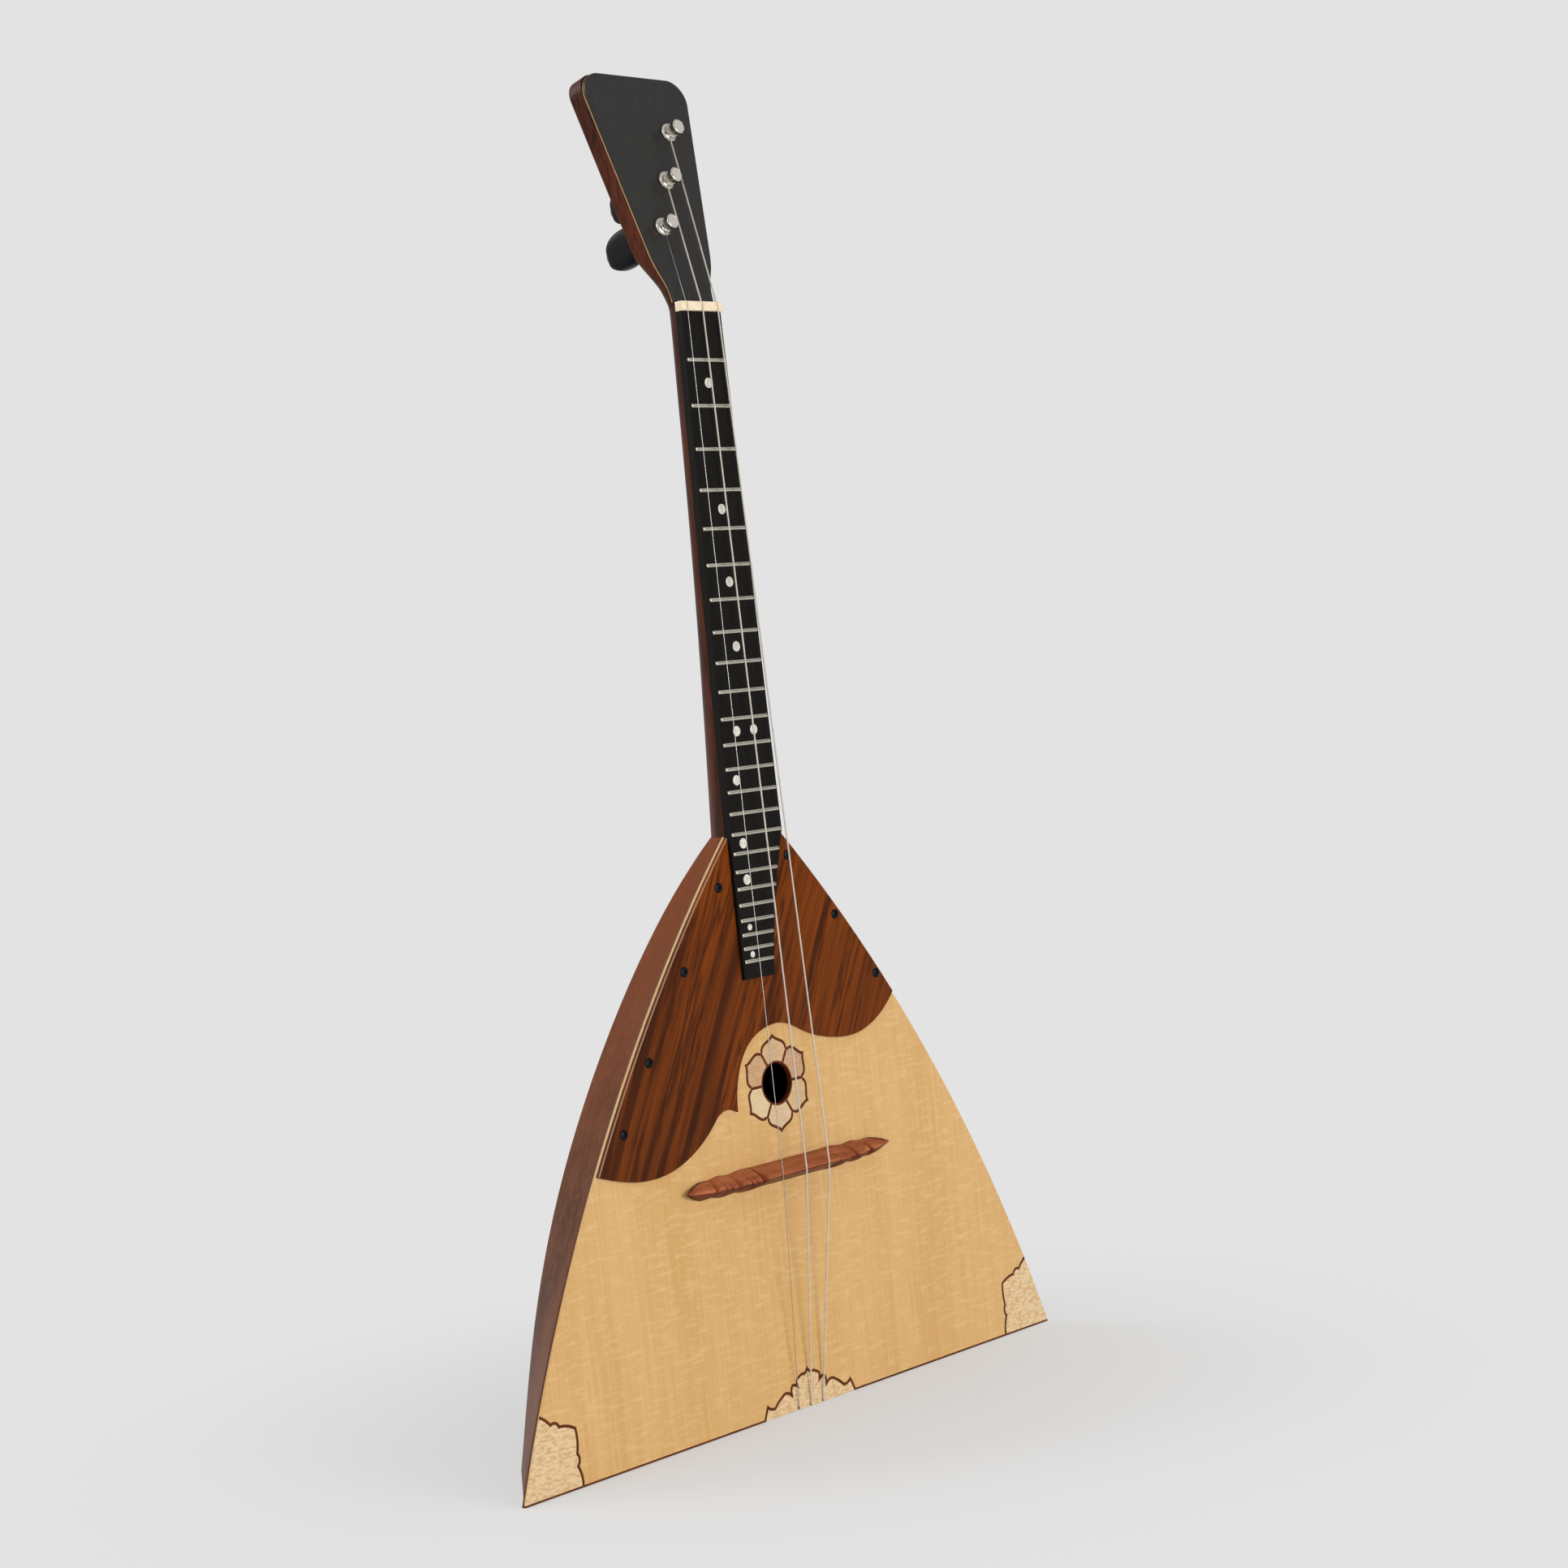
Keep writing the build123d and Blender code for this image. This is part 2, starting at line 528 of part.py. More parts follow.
def half_round(half, deep):
    """Draws a half ellipse with its flat side at local y = 0 and its belly towards +y."""
    Ellipse(half, deep)
    Rectangle(2 * half + 2, deep + 1, align=(Align.CENTER, Align.MAX), mode=Mode.SUBTRACT)


with BuildSketch(mode=Mode.PRIVATE) as head_outline:
    with BuildLine():
        right_edge = Spline((13.9, 0.3), (15.3, 10.2), (18.3, 17.2), (21.0, 26.0),
                            tangents=((0.05, 1), (0.22, 1)))
        Line(right_edge @ 1, (HEAD_HALF_TOP, HEAD_TOP))
        Line((HEAD_HALF_TOP, HEAD_TOP), (-HEAD_HALF_TOP, HEAD_TOP))
        Line((-HEAD_HALF_TOP, HEAD_TOP), (-21.0, 26.0))
        Spline((-21.0, 26.0), (-18.3, 17.2), (-15.3, 10.2), (-13.9, 0.3),
               tangents=((0.22, -1), (0.05, -1)))
        Line((-13.9, 0.3), (13.9, 0.3))
    make_face()
    fillet(head_outline.vertices().group_by(Axis.Y)[-1], 11.5)


def head_layer(front, thick):
    """One layer of the head, with its front a distance behind the plate's face."""
    with BuildPart() as piece:
        with BuildSketch(head_plane(-front)):
            add(head_outline.sketch)
            for base in PEG_BASES:
                with Locations(base):
                    Circle(BUSH_RADIUS, mode=Mode.SUBTRACT)
        extrude(amount=-thick)
    return piece


head_plate = head_layer(0, PLATE_THICK)
finish(head_plate, "head_plate", 0x3A3735)
head_veneer = head_layer(PLATE_THICK, VENEER_THICK)
finish(head_veneer, "head_veneer", 0xE3D2AC)

WOOD_FRONT = PLATE_THICK + VENEER_THICK
with BuildSketch(mode=Mode.PRIVATE) as head_wood:
    with BuildLine():
        Polyline((-18.6, 18.0), (18.6, 18.0), (21.0, 26.0), (HEAD_HALF_TOP, HEAD_TOP),
                 (-HEAD_HALF_TOP, HEAD_TOP), (-21.0, 26.0), close=True)
    make_face()
    fillet(head_wood.vertices().group_by(Axis.Y)[-1], 11.5)

with BuildPart() as head_slab:
    with BuildSketch(head_plane(-WOOD_FRONT)):
        add(head_wood.sketch)
    extrude(amount=-(HEAD_THICK - WOOD_FRONT))
    slab_foot = HEAD_ORIGIN + HEAD_UP * 18.0 - HEAD_FRONT * HEAD_THICK
    chamfer(head_slab.edges().sort_by_distance(slab_foot)[0], 5.5)

with BuildPart() as neck:
    for height, deep in NECK_SECTIONS:
        with BuildSketch(Plane(origin=(0, FACE_Y, height), x_dir=(1, 0, 0), z_dir=(0, 0, 1))):
            half_round(finger_half(height), deep)
    loft()
    with BuildSketch(Plane(origin=(0, FACE_Y, NUT_Z + NUT_LONG), x_dir=(1, 0, 0), z_dir=(0, 0, 1))):
        half_round(finger_half(NUT_Z + NUT_LONG), NECK_SECTIONS[-1][1])
    for rise, half, deep in THROAT_SECTIONS:
        centre = HEAD_ORIGIN + HEAD_UP * rise
        with BuildSketch(Plane(origin=centre, x_dir=(1, 0, 0), z_dir=HEAD_UP)):
            half_round(half, deep)
    loft()
    with BuildSketch(head_plane(-WOOD_FRONT)):
        with Locations((0, 70.3)):
            Rectangle(90, 140)
    extrude(amount=12, mode=Mode.SUBTRACT)
    add(head_slab.part)
    with BuildSketch(head_plane()):
        for base in PEG_BASES:
            with Locations(base):
                Circle(BUSH_RADIUS)
    extrude(amount=-20, mode=Mode.SUBTRACT)
    with Locations((0, BACK_OF_BOARD + TENON_DEEP / 2, JOINT_Z - TENON_LONG / 2)):
        Box(TENON_WIDE, TENON_DEEP, TENON_LONG)
finish(neck, "neck", 0x53281A)

# ---- fingerboard, frets, dots and nut ---------------------------------------------------------
CUT_LEVELS = [JOINT_Z - (JOINT_Z - FINGER_END_Z) * step / 6 for step in range(7)]
with BuildPart() as fingerboard:
    with BuildSketch(face_plane()):
        with BuildLine():
            Line((-finger_half(JOINT_Z), FINGER_END_Z), (-finger_half(JOINT_Z), JOINT_Z))
            Line((-finger_half(JOINT_Z), JOINT_Z), (-finger_half(NUT_Z), NUT_Z))
            Line((-finger_half(NUT_Z), NUT_Z), (finger_half(NUT_Z), NUT_Z))
            Line((finger_half(NUT_Z), NUT_Z), (finger_half(JOINT_Z), JOINT_Z))
            Spline(*[(cut_away_x(level), level) for level in CUT_LEVELS])
            Line((CUT_END_X, FINGER_END_Z), (-finger_half(JOINT_Z), FINGER_END_Z))
        make_face()
    extrude(amount=FINGER_THICK)
    for number in range(1, FRET_COUNT + 1):
        left, right = fret_ends(fret_z(number))
        with Locations(((left + right) / 2, FACE_Y - FINGER_THICK + TANG_DEEP / 2, fret_z(number))):
            Box(right - left, TANG_DEEP, TANG_WIDE, mode=Mode.SUBTRACT)
    with BuildSketch(face_plane(FINGER_THICK)):
        for x, height, radius in DOTS:
            with Locations((x, height)):
                Circle(radius)
    extrude(amount=-DOT_DEEP, mode=Mode.SUBTRACT)
finish(fingerboard, "fingerboard", 0x1D1B19)


def fret_solid(number):
    """One fret: a rounded crown on a thin tang that sits in its slot."""
    height = fret_z(number)
    left, right = fret_ends(height)
    with BuildPart(mode=Mode.PRIVATE) as fret:
        with Locations(((left + right) / 2, FACE_Y - FINGER_THICK - FRET_HIGH / 2, height)):
            Box(right - left, FRET_HIGH, FRET_WIDE)
        fillet(fret.edges().filter_by(Axis.X).group_by(Axis.Y)[0], 0.85)
        with Locations(((left + right) / 2, FACE_Y - FINGER_THICK + TANG_DEEP / 2, height)):
            Box(right - left, TANG_DEEP, TANG_WIDE)
    return fret.part


fret_solids = [fret_solid(number) for number in range(1, FRET_COUNT + 1)]
with BuildPart() as frets:
    add(fret_solids)
finish(frets, "frets", 0xC9C6B8)

with BuildPart() as fret_markers:
    with BuildSketch(face_plane(FINGER_THICK - DOT_DEEP)):
        for x, height, radius in DOTS:
            with Locations((x, height)):
                Circle(radius)
    extrude(amount=DOT_DEEP)
finish(fret_markers, "fret_markers", 0xE8E6E0)

# ---- strings: straight runs from peg to nut to bridge to the lower edge to the pins -----------
def peg_point(base, height):
    """Point in front of the head plate above a peg's base."""
    return head_plane(height).from_local_coords(Vector(base[0], base[1], 0))



def string_points(index):
    """Turning points of one string, from its peg to its pin."""
    place = STRING_PLACES[index]
    nut_x, bridge_x, tail_x = (place * step for step in (NUT_SPACING, BRIDGE_SPACING, TAIL_SPACING))
    base = PEG_BASES[index]
    side = WAIST_RADIUS + 3 * STRING_RADII[index] + STRING_CLEAR
    start = peg_point((base[0] - side, base[1]), WIND_LOW + WIND_RISE)
    return [start, Vector(nut_x, FACE_Y - STRING_AT_NUT, NUT_Z + 2.0),
            Vector(bridge_x, FACE_Y - BRIDGE_HIGH - STRING_RADII[index], BRIDGE_Z),
            Vector(tail_x, FACE_Y - STRING_RADII[index] - 0.05, TAIL_STRING_Z),
            Vector(tail_x, PIN_Y - 1.5, TAIL_STRING_Z)]


def string_solid(points, radius):
    """Round string through its turning points, with a ball at each turn."""
    with BuildPart(mode=Mode.PRIVATE) as piece:
        for start, end in zip(points, points[1:]):
            run = end - start
            with BuildSketch(Plane(origin=start, z_dir=run.normalized())):
                Circle(radius)
            extrude(amount=run.length)
        for turn in points[1:-1]:
            with Locations(turn):
                Sphere(radius)
    return piece.part


for index, radius in enumerate(STRING_RADII):
    with BuildPart() as string:
        add(string_solid(string_points(index), radius))
    finish(string, f"string_{index + 1}", 0xD8D8D0)

with BuildPart() as nut:
    with Locations((0, FACE_Y - NUT_HIGH / 2, NUT_Z + NUT_LONG / 2)):
        Box(2 * NUT_HALF, NUT_HIGH, NUT_LONG)
    fillet(nut.edges().filter_by(Axis.X).group_by(Axis.Y)[0], 1.2)
    for index, radius in enumerate(STRING_RADII):
        add(string_solid(string_points(index)[:3], radius + SLOT_GAP), mode=Mode.SUBTRACT)
finish(nut, "nut", 0xF2E3C2)

# The floating bridge: a wedge with its tall face towards the lower edge, stepped down at each side
# through two overlapping leaves to a spear point.
with BuildPart() as bridge:
    with BuildSketch(Plane.YZ.offset(-BRIDGE_HALF)):
        with BuildLine():
            Polyline((FACE_Y, BRIDGE_Z - 2.2), (FACE_Y, BRIDGE_Z + BRIDGE_FOOT - 2.2),
                     (FACE_Y - 3.0, BRIDGE_Z + BRIDGE_FOOT - 2.6), (FACE_Y - BRIDGE_HIGH, BRIDGE_Z + 1.0),
                     (FACE_Y - BRIDGE_HIGH, BRIDGE_Z - 1.0), close=True)
        make_face()
    extrude(amount=2 * BRIDGE_HALF)
    with BuildSketch(Plane.XY.offset(BRIDGE_Z - 10)):
        for side in (-1, 1):
            with BuildLine():
                Polyline(*[(side * x, FACE_Y - high) for x, high in BRIDGE_STEPS], close=True)
            make_face()
            with BuildLine():
                Polyline(*[(side * x, FACE_Y - high) for x, high in BRIDGE_LIFT], close=True)
            make_face()
    extrude(amount=30, mode=Mode.SUBTRACT)
    with BuildSketch(face_plane()):
        for side in (-1, 1):
            for edge in (-1, 1):
                with BuildLine():
                    middle, outside = BRIDGE_Z + TIP_MIDDLE, side * (BRIDGE_HALF + 5)
                    start = side * TIP_START
                    tip = Spline((start, middle + edge * TIP_HALF),
                                 (side * 66, middle + edge * 0.75 * TIP_HALF),
                                 (side * BRIDGE_HALF, middle))
                    Polyline(tip @ 1, (outside, middle), (outside, middle + edge * 2 * TIP_HALF),
                             (start, middle + edge * 2 * TIP_HALF), tip @ 0)
                make_face()
    extrude(amount=20, mode=Mode.SUBTRACT)
    for index, radius in enumerate(STRING_RADII):
        add(string_solid(string_points(index)[1:4], radius + SLOT_GAP), mode=Mode.SUBTRACT)
finish(bridge, "bridge", 0x8A4A2E)

# ---- the guard plate and its screws -----------------------------------------------------------
# Lower edge of the guard from the left side of the soundboard to the right side.
GUARD_CURVES = [
    [(-131.5, 141.8), (-116, 136.6), (-100, 133.6), (-85, 133.9), (-70, 138.2), (-56, 146.2),
     (-46, 155.2)],
    [(-46, 155.2), (-39.5, 157.8), (-31.2, 155.6)],
    [(-31.2, 155.6), (-29, 171), (-19.5, 187.0), (-5, 194.3), (10, 194.2), (24, 187.8), (43, 181.9),
     (62, 181.1), (80, 187.6), (94.5, 200.5)],
]
with BuildSketch(mode=Mode.PRIVATE) as guard_outline:
    with BuildLine():
        for points in GUARD_CURVES:
            Spline(*points)
        Polyline(GUARD_CURVES[-1][-1], (140, 200.5), (140, 310), (-160, 310), (-160, 141.8),
                 GUARD_CURVES[0][0])
    make_face()
    with BuildLine():
        low_x, high_x = BODY_HALF - GUARD_INSET, JOINT_HALF - GUARD_INSET
        mid_x = body_half(MID_Z) - GUARD_INSET
        ThreePointArc((low_x, 0), (mid_x, MID_Z), (high_x, JOINT_Z))
        Line((high_x, JOINT_Z), (-high_x, JOINT_Z))
        ThreePointArc((-high_x, JOINT_Z), (-mid_x, MID_Z), (-low_x, 0))
        Line((-low_x, 0), (low_x, 0))
    make_face(mode=Mode.INTERSECT)

slot_half, slot_foot = finger_half(JOINT_Z) + GUARD_GAP, FINGER_END_Z - GUARD_GAP
with BuildPart() as pickguard:
    with BuildSketch(face_plane()):
        add(guard_outline.sketch)
    extrude(amount=GUARD_THICK)
    chamfer(pickguard.faces().sort_by(Axis.Y)[0].edges(), 0.5)
    with BuildSketch(face_plane()):
        with BuildLine():
            Spline(*[(cut_away_x(level) + GUARD_GAP, level) for level in CUT_LEVELS])
            Polyline((CUT_END_X + GUARD_GAP, FINGER_END_Z), (CUT_END_X + GUARD_GAP, slot_foot),
                     (-slot_half, slot_foot), (-slot_half, JOINT_Z + 5), (slot_half, JOINT_Z + 5),
                     (slot_half, JOINT_Z))
        make_face()
        for place in SCREW_PLACES:
            with Locations(place):
                Circle(SCREW_BORE + 0.1)
    extrude(amount=GUARD_THICK, mode=Mode.SUBTRACT)
finish(pickguard, "pickguard", 0x5C2A16)

with BuildPart() as guard_screw:
    with BuildSketch(face_plane(-BOARD_THICK + 0.2)):
        Circle(SCREW_SHANK)
    extrude(amount=BOARD_THICK - 0.2 + GUARD_THICK)
    with BuildSketch(face_plane(GUARD_THICK)):
        Circle(SCREW_RADIUS)
    extrude(amount=SCREW_PROUD)
    fillet(guard_screw.edges().filter_by(GeomType.CIRCLE).sort_by(Axis.Y)[0], 0.7)
    with BuildSketch(face_plane(GUARD_THICK + SCREW_PROUD)):
        Rectangle(2.4, 0.6)
        Rectangle(0.6, 2.4)
    extrude(amount=-0.6, mode=Mode.SUBTRACT)

with BuildPart() as pickguard_screws:
    with Locations(*[(x, 0, z) for x, z in SCREW_PLACES]):
        add(guard_screw.part)
finish(pickguard_screws, "pickguard_screws", 0x1A1A1A)

# ---- friction pegs ----------------------------------------------------------------------------
def peg_frame(base, height):
    """Plane square to a peg's axis, a height in front of the head plate."""
    return Plane(origin=peg_point(base, height), x_dir=(1, 0, 0), z_dir=HEAD_FRONT)


def turned(base, profile, hole=0.0):
    """Solid turned about a peg's axis from (radius, height) points, with an optional hole."""
    frame = peg_frame(base, 0)
    with BuildPart(mode=Mode.PRIVATE) as piece:
        with BuildSketch(Plane(origin=frame.origin, x_dir=frame.x_dir, z_dir=-frame.y_dir)):
            with BuildLine():
                Polyline((hole, profile[0][1]), *profile, (hole, profile[-1][1]), close=True)
            make_face()
        revolve(axis=Axis(frame.origin, HEAD_FRONT))
    return piece.part


with BuildPart() as peg_bushings:
    for base in PEG_BASES:
        add(turned(base, [(BUSH_RADIUS, -HEAD_THICK), (BUSH_RADIUS, 0)], BUSH_BORE))
finish(peg_bushings, "peg_bushings", 0xB8B8B4)

with BuildPart() as peg_collars:
    for base in PEG_BASES:
        add(turned(base, COLLAR, BUSH_BORE))
finish(peg_collars, "peg_collars", 0xD0CEC8)

with BuildPart() as peg_washers:
    for base in PEG_BASES:
        add(turned(base, [(WASHER_RADIUS, -HEAD_THICK - WASHER_THICK), (WASHER_RADIUS, -HEAD_THICK)],
                   BUSH_BORE))
finish(peg_washers, "peg_washers", 0x2A2A2A)

with BuildSketch(mode=Mode.PRIVATE) as button_side:
    with BuildLine():
        half, front, back = BUTTON_HALF, BUTTON_FRONT - 3.2, BUTTON_BACK
        Polyline((3.4, front), (half, front - 7), (half - 0.8, back + 6), (4.5, back),
                 (-4.5, back), (-half + 0.8, back + 6), (-half, front - 7), (-3.4, front), close=True)
    make_face()
    fillet(button_side.vertices().group_by(Axis.Y)[1:], 3.0)

for index, base in enumerate(PEG_BASES):
    with BuildPart() as peg_post:
        add(turned(base, [(SQUARE_END, BUTTON_BACK + 3.0), (SQUARE_END, BUTTON_FRONT),
                          (SHAFT_RADIUS, BUTTON_FRONT), (SHAFT_RADIUS, WIND_LOW - FLANGE_THICK),
                          (FLANGE_RADIUS, WIND_LOW - FLANGE_THICK), (FLANGE_RADIUS, WIND_LOW),
                          (WAIST_RADIUS, WIND_LOW + WAIST_EASE),
                          (WAIST_RADIUS, WIND_HIGH - WAIST_EASE), (CAP_RADIUS, WIND_HIGH),
                          (CAP_RADIUS, CAP_TOP - CAP_EASE), (CAP_RADIUS - CAP_EASE, CAP_TOP)]))
    finish(peg_post, f"peg_post_{index + 1}", 0xD0CEC8)

    wound, wind_start = WAIST_RADIUS + 2 * STRING_RADII[index], WIND_LOW + WAIST_EASE + 0.1
    with BuildPart() as winding:
        add(turned(base, [(wound, wind_start), (wound, wind_start + WIND_LONG[index])],
                   WAIST_RADIUS))
    finish(winding, f"string_winding_{index + 1}", 0xD8D8D0)

    with BuildPart() as peg_button:
        with BuildSketch(Plane(origin=peg_point(base, 0), x_dir=HEAD_UP, z_dir=(1, 0, 0))):
            add(button_side.sketch)
        extrude(amount=BUTTON_THICK / 2, both=True)
        fillet(peg_button.edges().group_by(Axis.X)[0] + peg_button.edges().group_by(Axis.X)[-1], 2.4)
        add(turned(base, [(BUTTON_HUB, BUTTON_BACK + 16), (BUTTON_HUB, BUTTON_FRONT)]))
        add(turned(base, [(1.3, BUTTON_BACK - 1), (1.3, BUTTON_BACK + 3.0),
                          (SQUARE_END, BUTTON_BACK + 3.0), (SQUARE_END, BUTTON_FRONT + 1)]),
            mode=Mode.SUBTRACT)
    finish(peg_button, f"peg_button_{index + 1}", 0x171719)

    with BuildPart() as peg_screw:
        add(turned(base, [(1.6, BUTTON_BACK - 1.2), (2.6, BUTTON_BACK - 0.4), (2.6, BUTTON_BACK),
                          (1.3, BUTTON_BACK), (1.3, BUTTON_BACK + 3.0)]))
    finish(peg_screw, f"peg_screw_{index + 1}", 0xC0C0BC)
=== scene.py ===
# %% [markdown]
# A three-string balalaika. The wooden parts were packed as a fixed model, and this lesson gives
# each of them its finish, then builds the small carved, turned and drawn pieces as finer surfaces
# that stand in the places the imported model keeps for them. Everything is in metres.

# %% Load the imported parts
import bpy
import bmesh
import math
import numpy as np
from mathutils import Matrix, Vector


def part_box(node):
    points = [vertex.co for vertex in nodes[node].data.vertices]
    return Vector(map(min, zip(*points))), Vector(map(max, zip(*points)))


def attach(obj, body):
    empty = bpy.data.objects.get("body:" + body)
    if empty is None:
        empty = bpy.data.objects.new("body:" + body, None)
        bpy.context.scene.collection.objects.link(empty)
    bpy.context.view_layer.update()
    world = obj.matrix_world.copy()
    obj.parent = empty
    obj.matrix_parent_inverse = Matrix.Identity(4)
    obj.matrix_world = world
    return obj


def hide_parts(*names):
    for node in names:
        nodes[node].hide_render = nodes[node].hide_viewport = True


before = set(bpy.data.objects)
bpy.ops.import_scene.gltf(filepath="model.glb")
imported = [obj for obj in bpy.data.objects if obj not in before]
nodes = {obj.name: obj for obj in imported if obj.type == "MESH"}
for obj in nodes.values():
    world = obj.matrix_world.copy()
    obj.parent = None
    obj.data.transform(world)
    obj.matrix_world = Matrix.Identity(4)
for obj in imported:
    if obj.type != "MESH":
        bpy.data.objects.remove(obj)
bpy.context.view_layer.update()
MM = 0.001

# %% [markdown]
# Colours are written as the hex numbers that a paint picker shows. Blender's shaders want linear
# light instead, so one function undoes the screen's curve. One more function adds a node to a
# material, sets its options and inputs, and links an input wherever it is handed a socket.

# %% Colour and node helpers
def linear(hex_code):
    """A colour socket's four numbers from an sRGB hex code."""
    parts = np.array([hex_code >> 16 & 255, hex_code >> 8 & 255, hex_code & 255]) / 255
    light = np.where(parts <= 0.04045, parts / 12.92, ((parts + 0.055) / 1.055) ** 2.4)
    return (*light.tolist(), 1.0)


def add(tree, kind, inputs=None, stops=None, **options):
    """Adds one shader node: options are its settings, inputs its values or links, stops a ramp."""
    made = tree.nodes.new("ShaderNode" + kind)
    for name, value in options.items():
        setattr(made, name, value)
    for name, value in (inputs or {}).items():
        if isinstance(value, bpy.types.NodeSocket):
            tree.links.new(value, made.inputs[name])
        else:
            made.inputs[name].default_value = value
    if stops:
        ramp = made.color_ramp.elements
        while len(ramp) < len(stops):
            ramp.new(1.0)
        for stop, (place, colour) in zip(ramp, stops):
            stop.position, stop.color = place, colour
    return made


def material(name):
    """An empty material, its node tree and its glossy surface shader."""
    made = bpy.data.materials.new(name)
    made.use_nodes = True
    return made, made.node_tree, made.node_tree.nodes["Principled BSDF"]


GREY = [(step, step, step, 1.0) for step in (0.0, 1.0)]
print("red 0x80 in linear light", round(linear(0x800000)[0], 3))

# %% [markdown]
# The camera stands to the left of the strings at the height of the lower board, a metre and a
# half away, with a long lens so that the body keeps its shape. It is leaned a little, which makes
# the neck point up and to the left.

# %% Camera
eye = (-1.08674, -1.08941, 0.35505)
right = (0.6795, -0.72613, -0.10499)
down = (-0.0912, 0.05839, -0.99412)
forward = (0.72798, 0.68508, -0.02655)
lens = bpy.data.cameras.new("lens")
lens.lens, lens.sensor_width = 68.827, 36.0
camera = bpy.data.objects.new("camera", lens)
bpy.context.scene.collection.objects.link(camera)
turn = Matrix([[r, -d, -f] for r, d, f in zip(right, down, forward)])
camera.matrix_world = Matrix.Translation(eye) @ turn.to_4x4()
bpy.context.scene.camera = camera
print("camera", eye, "lens", round(lens.lens, 1), "mm")

# %% [markdown]
# Studio light is soft and mostly from the front: a big panel lights the board, a weaker one on the
# left fills the staves, and one behind draws a thin light along the edges. A faint card in front of
# the head is there only for the metal pegs to mirror. The room itself is pale where the camera sees
# it, but the light it gives is strong from the back left and almost nothing from the front right,
# which is what the flat black parts mirror: so black stays black.

# %% Lights and room
BACKDROP = linear(0xE3E3E3)


def panel(name, place, aim, size, watts):
    """A square soft light that faces a point."""
    made = bpy.data.lights.new(name, "AREA")
    made.size, made.energy = size, watts
    lamp = bpy.data.objects.new(name, made)
    bpy.context.scene.collection.objects.link(lamp)
    facing = np.array(place) - np.array(aim)
    side = np.cross((0, 0, 1), facing)
    axes = np.array([side / np.linalg.norm(side), np.cross(facing, side), facing])
    axes /= np.linalg.norm(axes, axis=1)[:, None]
    lamp.matrix_world = Matrix.Translation(place) @ Matrix(axes.T.tolist()).to_4x4()
    lamp.visible_camera = False


panel("front_light", (0.1, -2.7, 0.45), (0, 0, 0.25), 1.4, 51)
panel("left_light", (-2.0, 0.3, 1.2), (0, 0, 0.4), 1.2, 9)
panel("back_light", (-0.9, 1.6, 1.6), (0, 0, 0.5), 1.0, 12)
panel("peg_card", (0.95, -0.85, 1.22), (0, -0.05, 0.64), 1.0, 2.0)
world = bpy.data.worlds.new("room")
bpy.context.scene.world = world
world.use_nodes = True
tree = world.node_tree
tree.nodes.clear()
seen = add(tree, "LightPath").outputs["Is Camera Ray"]
shown = add(tree, "Background", {"Color": BACKDROP, "Strength": 1.0}).outputs[0]
towards = add(tree, "TexCoord").outputs["Generated"]
back_left = (-0.6, 0.45, 0.65)
lean = add(tree, "VectorMath", {0: towards, 1: back_left}, operation="DOT_PRODUCT").outputs["Value"]
bright = add(tree, "MapRange", {"Value": lean, "From Min": -0.6, "From Max": 0.5, "To Min": 0.02,
                                "To Max": 0.8}, interpolation_type="SMOOTHSTEP").outputs[0]
given = add(tree, "Background", {"Color": BACKDROP, "Strength": bright}).outputs[0]
mixed = add(tree, "MixShader", {0: seen, 1: given, 2: shown}).outputs[0]
add(tree, "OutputWorld", {"Surface": mixed})
bpy.context.scene.view_settings.view_transform = "Standard"
print("lights", len(bpy.data.lights), "room", world.name)

# %% [markdown]
# The floor is a large pale disc. Near the body it is half matt paper, which takes the shadow, and
# half a plain glow of the backdrop's own grey. Further out it is all glow, so that no horizon line
# shows.

# %% Floor
FLOOR_RADIUS, FLOOR_LOW = 6.0, -0.0003
rings, spokes = np.meshgrid(np.linspace(0.0, FLOOR_RADIUS, 7), np.linspace(0, 2 * np.pi, 65)[:-1],
                            indexing="ij")
low = np.full_like(rings, FLOOR_LOW)
spots = np.stack([rings * np.cos(spokes), rings * np.sin(spokes), low], -1)


def surface(name, spots):
    """A mesh over grids of points: rows are joined to the next row, and columns in a loop."""
    rows, columns = spots.shape[-3:-1]
    index = np.arange(spots.size // 3).reshape(-1, rows, columns)
    after = np.roll(index, -1, 2)
    quads = np.stack([index[:, :-1], after[:, :-1], after[:, 1:], index[:, 1:]], -1).reshape(-1, 4)
    mesh = bpy.data.meshes.new(name)
    mesh.from_pydata(spots.reshape(-1, 3), [], quads)
    return tidy(mesh)


def tidy(mesh):
    """Merges doubled points, so seams and poles close, and turns every face outwards."""
    work = bmesh.new()
    work.from_mesh(mesh)
    bmesh.ops.remove_doubles(work, verts=work.verts, dist=1e-6)
    bmesh.ops.dissolve_degenerate(work, edges=work.edges, dist=1e-7)
    bmesh.ops.recalc_face_normals(work, faces=work.faces)
    work.to_mesh(mesh)
    work.free()
    mesh.shade_smooth()
    return mesh


floor = bpy.data.objects.new("floor", surface("floor", spots))
bpy.context.scene.collection.objects.link(floor)
paper, tree, shader = material("matt_studio_paper")
shader.inputs["Base Color"].default_value = linear(0xE8E8E8)
shader.inputs["Roughness"].default_value = 0.9
shader.inputs["Specular IOR Level"].default_value = 0.0
place = add(tree, "TexCoord").outputs["Object"]
away = add(tree, "VectorMath", {0: place}, operation="LENGTH").outputs["Value"]
fade = add(tree, "MapRange", {"Value": away, "From Min": 0.1, "From Max": 0.42, "To Min": 0.5},
           interpolation_type="SMOOTHSTEP").outputs["Result"]
glow = add(tree, "Emission", {"Color": BACKDROP}).outputs[0]
mixed = add(tree, "MixShader", {0: fade, 1: shader.outputs[0], 2: glow}).outputs[0]
